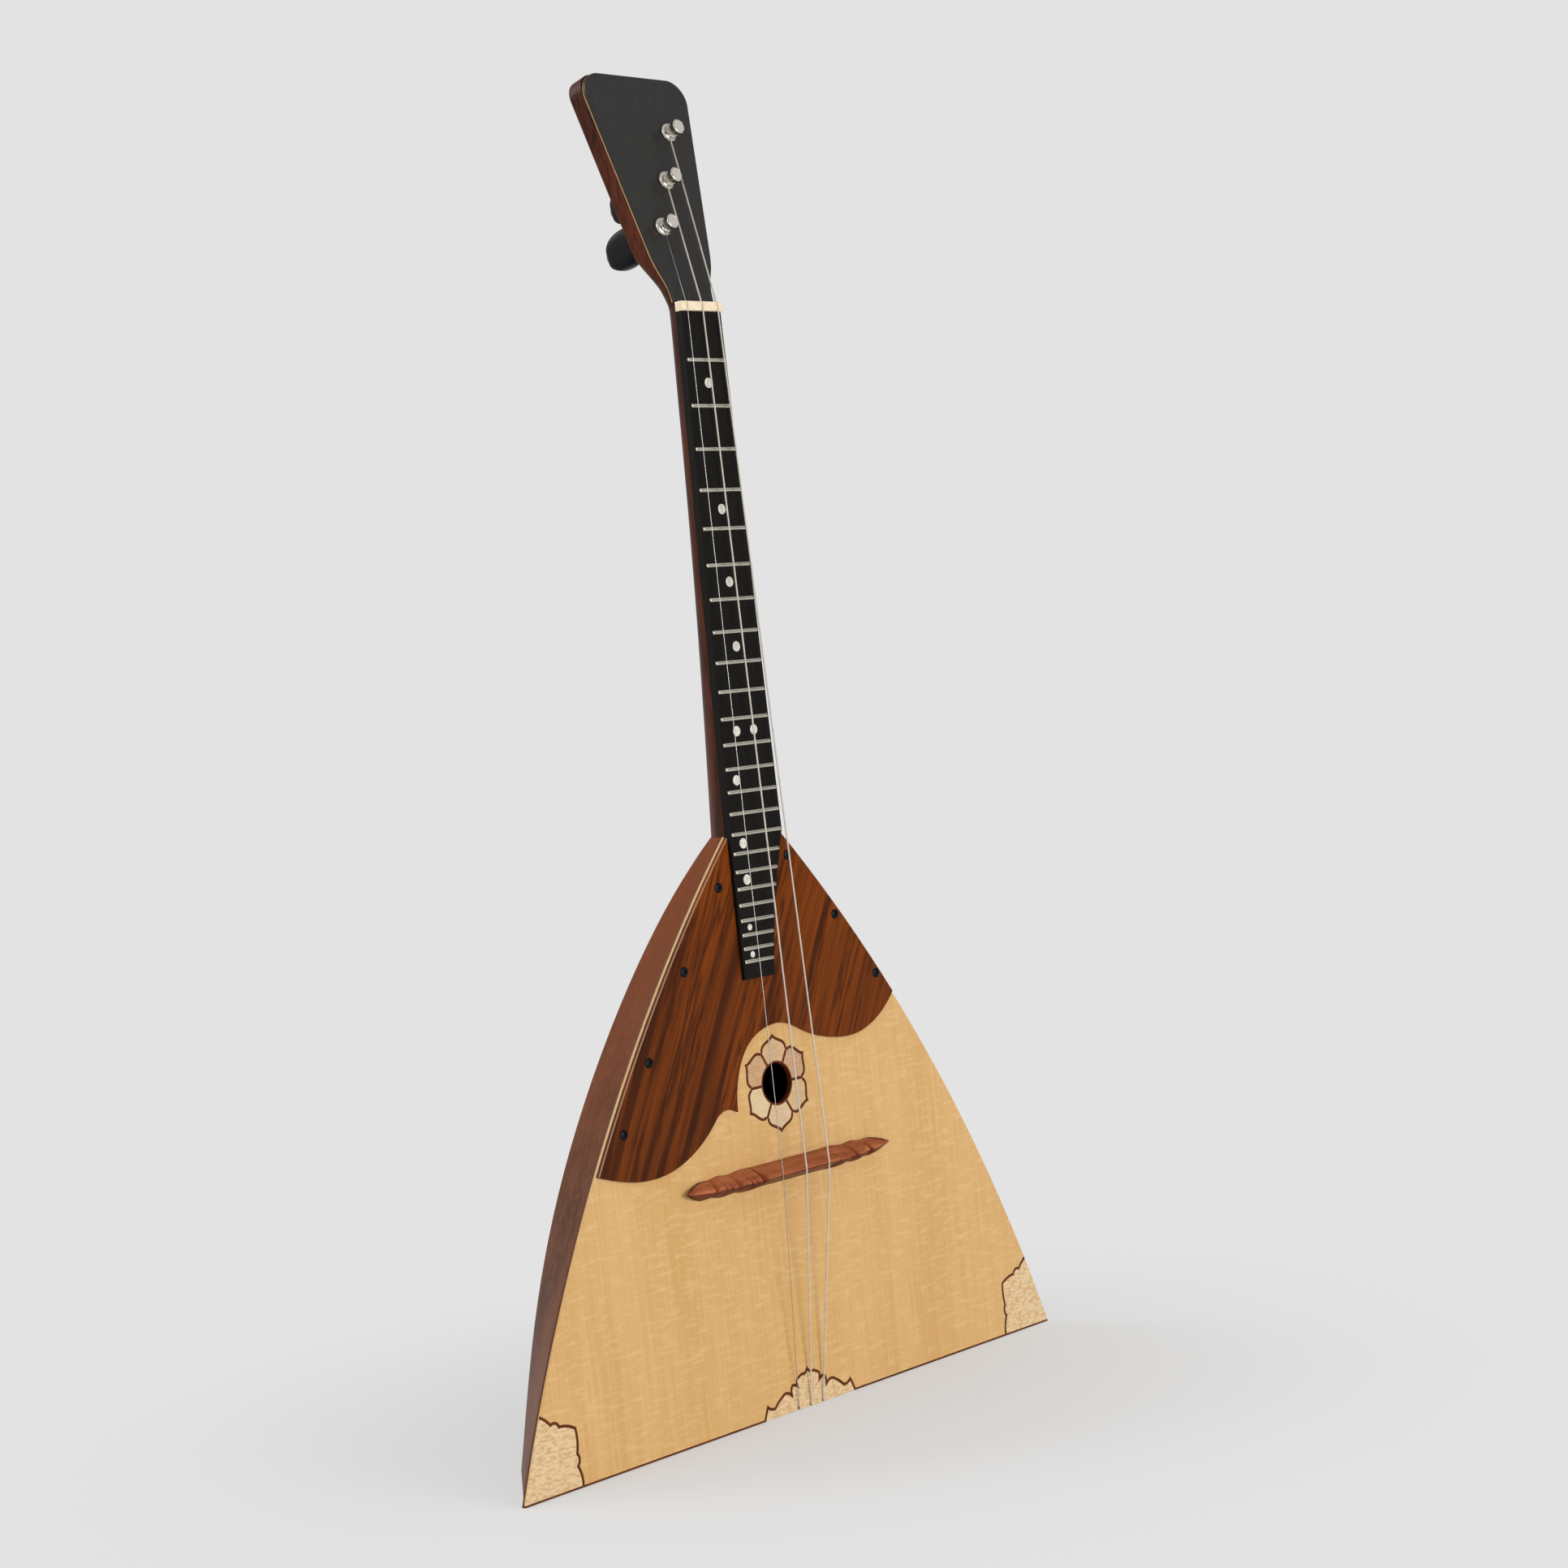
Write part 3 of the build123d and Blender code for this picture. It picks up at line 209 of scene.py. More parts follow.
tree.links.new(mixed, tree.nodes["Material Output"].inputs["Surface"])
floor.data.materials.append(paper)
print("floor", len(floor.data.polygons), "faces")

# %% [markdown]
# Wood is made of long fibres, so its colour changes fast across the grain and slowly along it.
# Noise on coordinates that are squeezed along the grain gives just that. Nearly every wood here is
# the same recipe with its own numbers: fine lines, broad bands, dark streaks and small open pores,
# and a thin varnish over them.

# %% The recipe for wood
def wood(name, pale, deep, streak, turn=(0, 0, 0), line=1.4, band=18, dark=22, much=0.5,
         pores=0.25, relief=0.05, rough=0.4, coat=0.06, stretch=14, drawn=1.0, shine=0.1):
    """Varnished wood with its grain up Z, turned by some degrees; widths are in millimetres."""
    made, tree, shader = material(name)
    place = add(tree, "TexCoord").outputs["Object"]
    turn = [math.radians(angle) for angle in turn]
    turned = add(tree, "Mapping", {"Vector": place, "Rotation": turn}).outputs[0]
    sway = add(tree, "TexNoise", {"Vector": turned, "Scale": 9.0, "Detail": 1.0}).outputs["Color"]
    swung = add(tree, "VectorMath", {0: sway, 1: (0.5, 0.5, 0.5)}, operation="SUBTRACT").outputs[0]
    bent = add(tree, "VectorMath", {0: swung, 1: (0.02 * drawn,) * 3, 2: turned},
               operation="MULTIPLY_ADD").outputs[0]
    grain = add(tree, "Mapping", {"Vector": bent, "Scale": (1, 1, 1 / stretch)}).outputs[0]
    slow = add(tree, "Mapping", {"Vector": bent, "Scale": (1, 1, 0.08)}).outputs[0]
    lines = add(tree, "TexNoise", {"Vector": grain, "Scale": 1 / (line * MM),
                                   "Detail": 3.0}).outputs[0]
    bands = add(tree, "TexNoise", {"Vector": slow, "Scale": 1 / (band * MM),
                                   "Detail": 2.0}).outputs[0]
    marks = add(tree, "TexNoise", {"Vector": slow, "Scale": 1 / (dark * MM), "Detail": 4.0,
                                   "Roughness": 0.6}).outputs[0]
    tone = add(tree, "Math", {0: lines, 1: 0.55, 2: -0.02}, operation="MULTIPLY_ADD").outputs[0]
    tone = add(tree, "Math", {0: bands, 1: 0.5, 2: tone}, operation="MULTIPLY_ADD").outputs[0]
    colours = [(0.36, linear(deep)), (0.66, linear(pale))]
    body = add(tree, "ValToRGB", {"Fac": tone}, colours).outputs[0]
    peak = [(0.0, GREY[0]), (0.52, GREY[0]), (0.57, GREY[1]), (0.62, GREY[0])]
    narrow = add(tree, "ValToRGB", {"Fac": marks}, peak).outputs[0]
    share = add(tree, "Math", {0: narrow, 1: much}, operation="MULTIPLY").outputs[0]
    body = add(tree, "Mix", {0: share, 6: body, 7: linear(streak)}, data_type="RGBA").outputs[2]
    open_ends = add(tree, "TexNoise", {"Vector": grain, "Scale": 1 / (0.7 * MM),
                                       "Detail": 2.0}).outputs[0]
    holes = add(tree, "ValToRGB", {"Fac": open_ends}, [(0.62, GREY[0]), (0.7, GREY[1])]).outputs[0]
    share = add(tree, "Math", {0: holes, 1: pores}, operation="MULTIPLY").outputs[0]
    body = add(tree, "Mix", {0: share, 6: body, 7: linear(streak)}, data_type="RGBA").outputs[2]
    tree.links.new(body, shader.inputs["Base Color"])
    gloss = add(tree, "Math", {0: lines, 1: 0.16, 2: rough - 0.08},
                operation="MULTIPLY_ADD").outputs[0]
    tree.links.new(gloss, shader.inputs["Roughness"])
    bump = add(tree, "Bump", {"Height": lines, "Strength": relief, "Distance": 0.4 * MM}).outputs[0]
    tree.links.new(bump, shader.inputs["Normal"])
    shader.inputs["Specular IOR Level"].default_value = shine
    shader.inputs["Coat Weight"].default_value = coat
    shader.inputs["Coat Roughness"].default_value = 0.15
    return made, tree, shader, body, place


# %% [markdown]
# The bowl's staves are walnut under satin varnish, and the bottom panel is the same wood. A second
# colour, painted light, comes in with height and makes the staves warmer near the neck, and each
# stave is a little lighter or darker than the next. The neck and head are mahogany, redder and
# darker. The unseen blocks and braces are plain spruce.

# %% Woods of the bowl and neck
stave_walnut, tree, shader, body, place = wood(
    "stave_walnut_satin_varnish", 0x7C4C32, 0x583626, 0x33190E, line=1.8, much=0.35, rough=0.45,
    coat=0.02, stretch=30, shine=0.05)
# Painted light: a warmer orange is mixed in with height, so the staves look warmer towards the
# neck.
height = add(tree, "SeparateXYZ", {0: place}).outputs["Z"]
share = add(tree, "MapRange", {"Value": height, "From Min": 0.1, "From Max": 0.27, "To Max": 0.65},
            interpolation_type="SMOOTHSTEP").outputs[0]
painted_light_warmer = add(tree, "Mix", {0: share, 6: body, 7: linear(0x8C4416)}, data_type="RGBA").outputs[2]
own = add(tree, "ObjectInfo").outputs["Random"]
value = add(tree, "MapRange", {"Value": own, "To Min": 0.82, "To Max": 1.12}).outputs[0]
toned = add(tree, "HueSaturation", {"Value": value, "Color": painted_light_warmer}).outputs[0]
tree.links.new(toned, shader.inputs["Base Color"])
neck_mahogany = wood("neck_mahogany_satin_varnish", 0x5E2A14, 0x2A1208, 0x160804, band=14,
                     line=1.2, much=0.6, rough=0.4, coat=0.05)[0]
brace_spruce = wood("unvarnished_brace_spruce", 0xDDBE8A, 0xC9A26A, 0xA87E4C,
                    much=0.2, rough=0.6, coat=0.0)[0]
print("woods", stave_walnut.name, neck_mahogany.name, brace_spruce.name)

# %% [markdown]
# The guard plate is rosewood with near-black streaks that lean to the right as they rise. Long soft
# stripes lie over the fine grain, and the bevel on its left edge carries a pale painted highlight.
# The bridge is a plainer red-brown piece of the same family with its grain along its length.
# Painted shade darkens the face it turns to the tail and the bottoms of its cuts.

# %% Rosewood
guard_rosewood, tree, shader, body, place = wood(
    "guard_rosewood_gloss_varnish", 0x7E3C0C, 0x542608, 0x1C0A05, turn=(0, -28, 0), line=1.8,
    band=14, dark=10, much=0.6, pores=0.2, rough=0.34, coat=0.04, stretch=60, drawn=0.4, shine=0.06)
LEFT_BEVEL = (-0.606, -0.707, 0.364)   # direction that the left edge's bevel faces
leaning = add(tree, "Mapping", {"Vector": place, "Rotation": (0, math.radians(-28), 0)}).outputs[0]
long = add(tree, "Mapping", {"Vector": leaning, "Scale": (1, 1, 0.035)}).outputs[0]
stripes = add(tree, "TexNoise", {"Vector": long, "Scale": 1 / (9 * MM), "Detail": 2.0,
                                 "Distortion": 0.2}).outputs[0]
share = add(tree, "MapRange", {"Value": stripes, "From Min": 0.5, "From Max": 0.66, "To Max": 0.75},
            interpolation_type="SMOOTHSTEP").outputs[0]
striped = add(tree, "Mix", {0: share, 6: body, 7: linear(0x301406)}, data_type="RGBA").outputs[2]
# Painted highlight: where the surface faces the way of the left edge's bevel, a pale pink is mixed
# in.
outward = add(tree, "TexCoord").outputs["Normal"]
facing = add(tree, "VectorMath", {0: outward, 1: LEFT_BEVEL},
             operation="DOT_PRODUCT").outputs["Value"]
share = add(tree, "MapRange", {"Value": facing, "From Min": 0.9, "From Max": 0.97,
                               "To Max": 0.7}).outputs[0]
painted_bevel_highlight = add(tree, "Mix", {0: share, 6: striped, 7: linear(0xB98A6C)}, data_type="RGBA").outputs[2]
tree.links.new(painted_bevel_highlight, shader.inputs["Base Color"])
bridge_wood, tree, shader, body, place = wood(
    "bridge_rosewood_oiled_painted_shade", 0xC07048, 0x98502E, 0x54200F, turn=(0, 90, 0), line=0.9, band=8,
    much=0.3, rough=0.45, coat=0.05)
# Painted shade: faces whose normal turns downwards, towards the tail, are mixed towards dark brown.
outward = add(tree, "TexCoord").outputs["Normal"]
downward = add(tree, "SeparateXYZ", {0: outward}).outputs["Z"]
share = add(tree, "MapRange", {"Value": downward, "From Min": 0.05, "From Max": -0.35,
                               "To Max": 0.8}).outputs[0]
shaded = add(tree, "Mix", {0: share, 6: body, 7: linear(0x4A2012)}, data_type="RGBA").outputs[2]
# Painted shade: hollow places, the bottoms of the carved cuts, are darkened further.
cut = add(tree, "NewGeometry").outputs["Pointiness"]
share = add(tree, "MapRange", {"Value": cut, "From Min": 0.497, "From Max": 0.46,
                               "To Max": 0.85}).outputs[0]
painted_cut_shade = add(tree, "Mix", {0: share, 6: shaded, 7: linear(0x3A160A)}, data_type="RGBA").outputs[2]
tree.links.new(painted_cut_shade, shader.inputs["Base Color"])
print("rosewoods", guard_rosewood.name, bridge_wood.name)

# %% [markdown]
# The board is quarter-sawn spruce. Its year lines run straight up, a millimetre or so apart, and
# the cut also shows silk: short paler flecks that lie across the grain. The flecks are noise
# squeezed the other way, laid over the lines. The staves' stain runs over the back half of the
# board's edge, so from the side only a thin pale line of the board shows.

# %% Spruce board
spruce, tree, shader, body, place = wood(
    "board_spruce_satin_lacquer", 0xD7AD74, 0xCDA164, 0xC09054, line=1.5, band=30, dark=40,
    much=0.2, pores=0.06, rough=0.4, coat=0.1, stretch=40, drawn=0.15)
across = add(tree, "Mapping", {"Vector": place, "Scale": (0.22, 1, 1)}).outputs[0]
silk = add(tree, "TexNoise", {"Vector": across, "Scale": 1 / (2.2 * MM), "Detail": 3.0}).outputs[0]
flecks = add(tree, "ValToRGB", {"Fac": silk}, [(0.5, GREY[0]), (0.72, GREY[1])]).outputs[0]
share = add(tree, "Math", {0: flecks, 1: 0.34}, operation="MULTIPLY").outputs[0]
silky = add(tree, "Mix", {0: share, 6: body, 7: linear(0xE6C898)}, data_type="RGBA").outputs[2]
depth = add(tree, "SeparateXYZ", {0: place}).outputs["Y"]
MIDDLE_OF_EDGE = -38.7 * MM
behind = add(tree, "Math", {0: depth, 1: MIDDLE_OF_EDGE}, operation="GREATER_THAN").outputs[0]
edged = add(tree, "Mix", {0: behind, 6: silky, 7: linear(0x5E331C)}, data_type="RGBA").outputs[2]
tree.links.new(edged, shader.inputs["Base Color"])
print("board", spruce.name, len(tree.nodes), "nodes")

# %% [markdown]
# The corner and tail inlays are lacewood, a pale wood whose cut shows short wavy flecks side by
# side. Noise squeezed to flecks a few millimetres wide and bent by a slower noise draws them, and
# the same noise lifts the surface a little, because the flecks shimmer.

# %% Lacewood inlay
def lacewood(name, pale, net):
    """Pale wood with flecks a few millimetres wide, and the sockets that another layer needs."""
    made, tree, shader = material(name)
    place = add(tree, "TexCoord").outputs["Object"]
    wobble = add(tree, "TexNoise", {"Vector": place, "Scale": 1 / (5 * MM),
                                    "Detail": 2.0}).outputs[1]
    bent = add(tree, "VectorMath", {0: wobble, 1: (3 * MM,) * 3, 2: place},
               operation="MULTIPLY_ADD").outputs[0]
    wide = add(tree, "Mapping", {"Vector": bent, "Rotation": (0, 0.35, 0),
                                 "Scale": (0.35, 0.35, 1)}).outputs[0]
    cells = add(tree, "TexNoise", {"Vector": wide, "Scale": 1 / (1.2 * MM),
                                   "Detail": 2.0}).outputs[0]
    colours = [(0.36, linear(net)), (0.58, linear(pale))]
    figure = add(tree, "ValToRGB", {"Fac": cells}, colours).outputs[0]
    tree.links.new(figure, shader.inputs["Base Color"])
    shader.inputs["Roughness"].default_value = 0.4
    shader.inputs["Coat Weight"].default_value = 0.25
    shader.inputs["Coat Roughness"].default_value = 0.18
    bump = add(tree, "Bump", {"Height": cells, "Strength": 0.04, "Distance": 0.3 * MM}).outputs[0]
    tree.links.new(bump, shader.inputs["Normal"])
    return made, tree, shader, figure, place


pale_inlay = lacewood("corner_inlay_lacewood", 0xE0C294, 0xC8A272)[0]
print("inlay", pale_inlay.name)

# %% [markdown]
# The rosette's six petals are cut from different pieces of the same wood, so each has its own
# tint. The angle round the sound hole picks the tint: a ramp with hard steps gives one colour to
# each sixth of the circle.

# %% Petals
low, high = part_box("soundhole_ring")
hole = (low + high) / 2
petal_wood, tree, shader, figure, place = lacewood("petal_lacewood", 0xE6CDA4, 0xC79F70)
from_hole = add(tree, "VectorMath", {0: place, 1: hole}, operation="SUBTRACT").outputs[0]
split = add(tree, "SeparateXYZ", {0: from_hole}).outputs
heading = add(tree, "Math", {0: split["Z"], 1: split["X"]}, operation="ARCTAN2").outputs[0]
part = add(tree, "Math", {0: heading, 1: 0.5 / math.pi, 2: 1.0},
           operation="MULTIPLY_ADD").outputs[0]
part = add(tree, "Math", {0: part}, operation="FRACT").outputs[0]
TINTS = [0xB98863, 0xC9A076, 0xBC8C5E, 0xD8BF95, 0xD2B58C, 0xC8A472]
sixths = [(count / 6, linear(tint)) for count, tint in enumerate(TINTS)]
tints = add(tree, "ValToRGB", {"Fac": part}, sixths)
tints.color_ramp.interpolation = "CONSTANT"
tinted = add(tree, "Mix", {0: 0.75, 6: figure, 7: tints.outputs[0]}, data_type="RGBA").outputs[2]
tree.links.new(tinted, shader.inputs["Base Color"])
print("petals", petal_wood.name, len(TINTS), "tints")

# %% [markdown]
# The dark lines are strips of stained wood a millimetre or so wide. The veneer under the head plate
# is maple, darkened by its varnish and almost plain.

# %% Lines and veneer
dark_line = wood("stained_line_wood", 0x6E3614, 0x50250C, 0x301408, line=0.8, rough=0.45)[0]
maple_veneer = wood("head_veneer_maple", 0xCBA476, 0xB48A5C, 0x8E6842, line=0.9, much=0.15,
                    rough=0.5)[0]
print("lines and veneer", dark_line.name, maple_veneer.name)

# %% [markdown]
# Ebonised wood is black but never a flat black: fine pores catch dust and the surface is slightly
# uneven from sanding. The head plate is the duller and warmer of the two.

# %% Black woods
def ebonised(name, body, pore, rough, shine):
    """Black stained wood with fine pores along Z and a faint wandering gloss."""
    made, tree, shader = material(name)
    place = add(tree, "TexCoord").outputs["Object"]
    grain = add(tree, "Mapping", {"Vector": place, "Scale": (1, 1, 0.05)}).outputs[0]
    fibres = add(tree, "TexNoise", {"Vector": grain, "Scale": 1 / (0.8 * MM),
                                    "Detail": 3.0}).outputs[0]
    colours = [(0.4, linear(body)), (0.72, linear(pore))]
    tone = add(tree, "ValToRGB", {"Fac": fibres}, colours).outputs[0]
    tree.links.new(tone, shader.inputs["Base Color"])
    cloud = add(tree, "TexNoise", {"Vector": place, "Scale": 1 / (30 * MM),
                                   "Detail": 3.0}).outputs[0]
    gloss = add(tree, "Math", {0: cloud, 1: 0.2, 2: rough - 0.1},
                operation="MULTIPLY_ADD").outputs[0]
    tree.links.new(gloss, shader.inputs["Roughness"])
    bump = add(tree, "Bump", {"Height": fibres, "Strength": 0.05, "Distance": 0.3 * MM}).outputs[0]
    tree.links.new(bump, shader.inputs["Normal"])
    shader.inputs["Specular IOR Level"].default_value = shine
    return made


head_black = ebonised("head_plate_ebonised_satin", 0x242322, 0x2D2B29, 0.4, 0.25)
finger_black = ebonised("fingerboard_ebonised", 0x0F0E0C, 0x191613, 0.5, 0.1)
print("black woods", head_black.name, finger_black.name)

# %% [markdown]
# Metal takes its look from what it reflects, so it needs a little unevenness: nickel plate shows
# fine polishing lines, drawn steel wire is smoother, and pressed nickel silver is warmer and
# duller.

# %% Metals
def metal(name, shade, rough, scratch):
    """Polished or drawn metal whose gloss wanders over a few millimetres; scratch is in mm."""
    made, tree, shader = material(name)
    shader.inputs["Metallic"].default_value = 1.0
    place = add(tree, "TexCoord").outputs["Object"]
    fine = add(tree, "TexNoise", {"Vector": place, "Scale": 1 / (scratch * MM),
                                  "Detail": 4.0}).outputs[0]
    tone = add(tree, "ValToRGB", {"Fac": fine}, [(0.3, linear(shade - 0x0C0C0C)),
                                                 (0.7, linear(shade))]).outputs[0]
    tree.links.new(tone, shader.inputs["Base Color"])
    gloss = add(tree, "Math", {0: fine, 1: 0.16, 2: rough - 0.08},
                operation="MULTIPLY_ADD").outputs[0]
    tree.links.new(gloss, shader.inputs["Roughness"])
    bump = add(tree, "Bump", {"Height": fine, "Strength": 0.03, "Distance": 0.1 * MM}).outputs[0]
    tree.links.new(bump, shader.inputs["Normal"])
    return made


nickel = metal("peg_polished_nickel_plate", 0xE4DED2, 0.22, 0.8)
fret_wire = metal("fret_nickel_silver", 0xD2CDBE, 0.28, 0.6)
steel = metal("string_drawn_steel", 0xB8B6B2, 0.26, 0.5)
blackened = metal("screw_blackened_steel", 0x26272A, 0.4, 0.5)
print("metals", nickel.name, fret_wire.name, steel.name, blackened.name)

# %% [markdown]
# Nut, dots, strings and peg buttons: cow bone is cream with faint pores, mother-of-pearl is white
# with cloudy layers, nylon lets a little light through, and the buttons are moulded black plastic.

# %% Bone, pearl, nylon and plastic
def clouded(name, first, second, size, rough, relief, clear=0.0, shine=0.5):
    """A smooth solid whose colour drifts between two tints over a size in millimetres."""
    made, tree, shader = material(name)
    place = add(tree, "TexCoord").outputs["Object"]
    drift = add(tree, "TexNoise", {"Vector": place, "Scale": 1 / (size * MM),
                                   "Detail": 4.0}).outputs[0]
    colours = [(0.35, linear(first)), (0.65, linear(second))]
    tone = add(tree, "ValToRGB", {"Fac": drift}, colours).outputs[0]
    tree.links.new(tone, shader.inputs["Base Color"])
    shader.inputs["Roughness"].default_value = rough
    shader.inputs["Transmission Weight"].default_value = clear
    shader.inputs["Specular IOR Level"].default_value = shine
    bump = add(tree, "Bump", {"Height": drift, "Strength": relief, "Distance": 0.3 * MM}).outputs[0]
    tree.links.new(bump, shader.inputs["Normal"])
    return made


bone = clouded("nut_polished_bone", 0xF4E4C8, 0xE8D2AC, 3.0, 0.3, 0.04)
pearl = clouded("dot_mother_of_pearl", 0xE4E0D6, 0xC8C4BA, 1.5, 0.3, 0.03)
nylon = clouded("string_clear_nylon", 0xE8DCCE, 0xDACEC0, 4.0, 0.3, 0.02, clear=0.3)
button_plastic = clouded("button_moulded_black_plastic", 0x0C0C0D, 0x141416, 1.2, 0.34, 0.06,
                         shine=0.1)
washer_black = clouded("washer_black_fibre", 0x1B1B1C, 0x29292A, 0.8, 0.6, 0.1)
print("smooth solids", bone.name, pearl.name, nylon.name, button_plastic.name, washer_black.name)

# %% [markdown]
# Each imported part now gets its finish. A part with a good shape keeps its mesh, and only its
# material changes.

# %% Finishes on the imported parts
FINISHES = [
    (stave_walnut, "rib_1 rib_2 rib_3 rib_4 rib_5 rib_6 rib_7 bottom_panel"),
    (neck_mahogany, "neck"), (spruce, "soundboard"), (guard_rosewood, "pickguard"),
    (brace_spruce, "tail_block neck_block lining_left lining_right lining_bottom corner_block_left "
                   "corner_block_right brace_upper brace_middle brace_lower"),
    (pale_inlay, "corner_inlay_left corner_inlay_right tail_inlay"), (petal_wood, "rosette_petals"),
    (dark_line, "corner_border_left corner_border_right tail_border rosette_outline soundhole_ring "
                "edge_strip"),
    (maple_veneer, "head_veneer"), (head_black, "head_plate"), (finger_black, "fingerboard"),
    (fret_wire, "frets"), (pearl, "fret_markers"), (bone, "nut"), (bridge_wood, "bridge"),
    (nickel, "peg_bushings peg_collars peg_post_1 peg_post_2 peg_post_3 string_pins peg_screw_1 "
             "peg_screw_2 peg_screw_3"),
    (washer_black, "peg_washers"), (blackened, "pickguard_screws"),
    (button_plastic, "peg_button_1 peg_button_2 peg_button_3"),
    (steel, "string_1 string_winding_1"),
    (nylon, "string_2 string_3 string_winding_2 string_winding_3"),
]
for finish, names in FINISHES:
    for name in names.split():
        nodes[name].data.materials.clear()
        nodes[name].data.materials.append(finish)
print("finished parts", sum(len(names.split()) for _, names in FINISHES), "of", len(nodes))

# %% [markdown]
# The small parts are surfaces over a grid of points. Two tools shape their outlines: one rounds
# the corners of a broken line, as a file would, and one draws a smooth curve through given points.

# %% Outlines
def eased(points, cut):
    """A broken line with each corner made a short parabola that starts a distance from it."""
    points = np.asarray(points, float)
    into, out = points[1:-1] - points[:-2], points[2:] - points[1:-1]
    long_in, long_out = np.linalg.norm(into, axis=1)[:, None], np.linalg.norm(out, axis=1)[:, None]
    first = points[1:-1] - into / long_in * np.minimum(cut, 0.45 * long_in)
    last = points[1:-1] + out / long_out * np.minimum(cut, 0.45 * long_out)
    t = np.linspace(0, 1, 5)[None, :, None]
    bends = (1 - t) ** 2 * first[:, None] + 2 * t * (1 - t) * points[1:-1, None]
    bends = bends + t ** 2 * last[:, None]
    return np.vstack([points[:1], bends.reshape(-1, points.shape[1]), points[-1:]])


def through(x, at, values):
    """Smooth curve through values given at places: a cubic whose slope there is its neighbours'."""
    at, values = np.asarray(at, float), np.asarray(values, float)
    slope = np.gradient(values, at)
    k = np.clip(np.searchsorted(at, x, side="right") - 1, 0, len(at) - 2)
    wide = at[k + 1] - at[k]
    t = np.clip((x - at[k]) / wide, 0, 1)
    rise = (2 * t ** 3 - 3 * t ** 2 + 1) * values[k] + (3 * t ** 2 - 2 * t ** 3) * values[k + 1]
    return rise + wide * ((t ** 3 - 2 * t ** 2 + t) * slope[k] + (t ** 3 - t ** 2) * slope[k + 1])


def piece(name, mesh, finish, body, slot, *stands_for):
    """An object from a mesh, with its finish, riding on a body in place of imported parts."""
    made = bpy.data.objects.new(name, mesh)
    bpy.context.scene.collection.objects.link(made)
    mesh.materials.clear()
    mesh.materials.append(finish)
    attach(made, body)
    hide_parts(*stands_for)
    print(name, "faces", len(mesh.polygons))
    return made


# %% [markdown]
# A real plate or board never has a knife edge: sanding leaves a rounding of a few tenths of a
# millimetre, which catches light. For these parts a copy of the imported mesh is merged, and a
# Bevel modifier rounds every edge sharper than 30 degrees.

# %% Sanded edges
def softened(name, width, finish, slot):
    """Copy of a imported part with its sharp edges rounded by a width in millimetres."""
    mesh = tidy(nodes[name].data.copy())
    work = bmesh.new()
    work.from_mesh(mesh)
    bmesh.ops.dissolve_limit(work, angle_limit=math.radians(0.5), verts=work.verts,
                             edges=work.edges)
    work.to_mesh(mesh)
    work.free()
    mesh.set_sharp_from_angle(angle=math.radians(30))
    made = piece("sanded_" + name, mesh, finish, "instrument", slot, name)
    rounding = made.modifiers.new("sanding", "BEVEL")
    rounding.width, rounding.segments = width * MM, 3
    rounding.limit_method, rounding.angle_limit = "ANGLE", math.radians(30)
    rounding.harden_normals = True


softened("head_plate", 0.5, head_black, "black_head_plate")
softened("fingerboard", 0.3, finger_black, "black_fingerboard")
softened("bottom_panel", 0.5, stave_walnut, "stave_walnut")
for number in range(1, 8):
    softened(f"rib_{number}", 0.3, stave_walnut, "stave_walnut")

# %% [markdown]
# The pieces from here on are drawn in millimetres from the same few measurements, and turned into
# metres at the end.

# %% Measurements that the small parts share
FACE = -40.0                               # the board's face, on the Y axis
NUT, JOINT, BRIDGE = 555.0, 292.0, 120.0   # heights of the nut, the body's point and the bridge
SCALE_LENGTH = NUT - BRIDGE
SIDES = (-1, 0, 1)                         # the three strings, from left to right
THICK = [0.2, 0.45, 0.45]                  # radius of each string
AT_NUT, AT_BRIDGE, AT_TAIL = 10.8, 17.0, 9.0   # distance between strings
WAIST = 2.7                                # radius of the peg where the string winds
WIND_FROM, WIND_START = 3.5, 4.3           # where a winding begins, and where its string leaves
HALF_AT_NUT, TAPER = 14.1, 0.0185          # half width of the fingerboard and how it grows
print("scale length", SCALE_LENGTH, "mm")

# %% [markdown]
# The pegs stand square to the head, which leans back 13 degrees. A turned part is an outline of
# (radius, height) points spun round a peg's axis: each point of the outline becomes a circle.

# %% Turned parts on the head
LEAN = math.radians(13)
HEAD_UP = np.array([0, math.sin(LEAN), math.cos(LEAN)])
HEAD_FRONT = np.array([0, -math.cos(LEAN), math.sin(LEAN)])
HEAD_FOOT = np.array([0, FACE - 0.5, NUT + 5.0])
ACROSS = np.array([1.0, 0, 0])
PEG_PLACES = [(-8.7, 40.0), (3.2, 65.7), (14.8, 92.6)]   # across and up the head
PEGS = [HEAD_FOOT + x * ACROSS + up * HEAD_UP for x, up in PEG_PLACES]
AROUND = np.linspace(0, 2 * np.pi, 49)[:-1]


def turned(outline, cut, foot):
    """Circles round the peg axis at foot, one for each point of the eased outline."""
    radius, height = eased(outline, cut).T
    ring = np.cos(AROUND)[:, None] * ACROSS + np.sin(AROUND)[:, None] * HEAD_UP
    return (foot + radius[:, None, None] * ring + height[:, None, None] * HEAD_FRONT) * MM


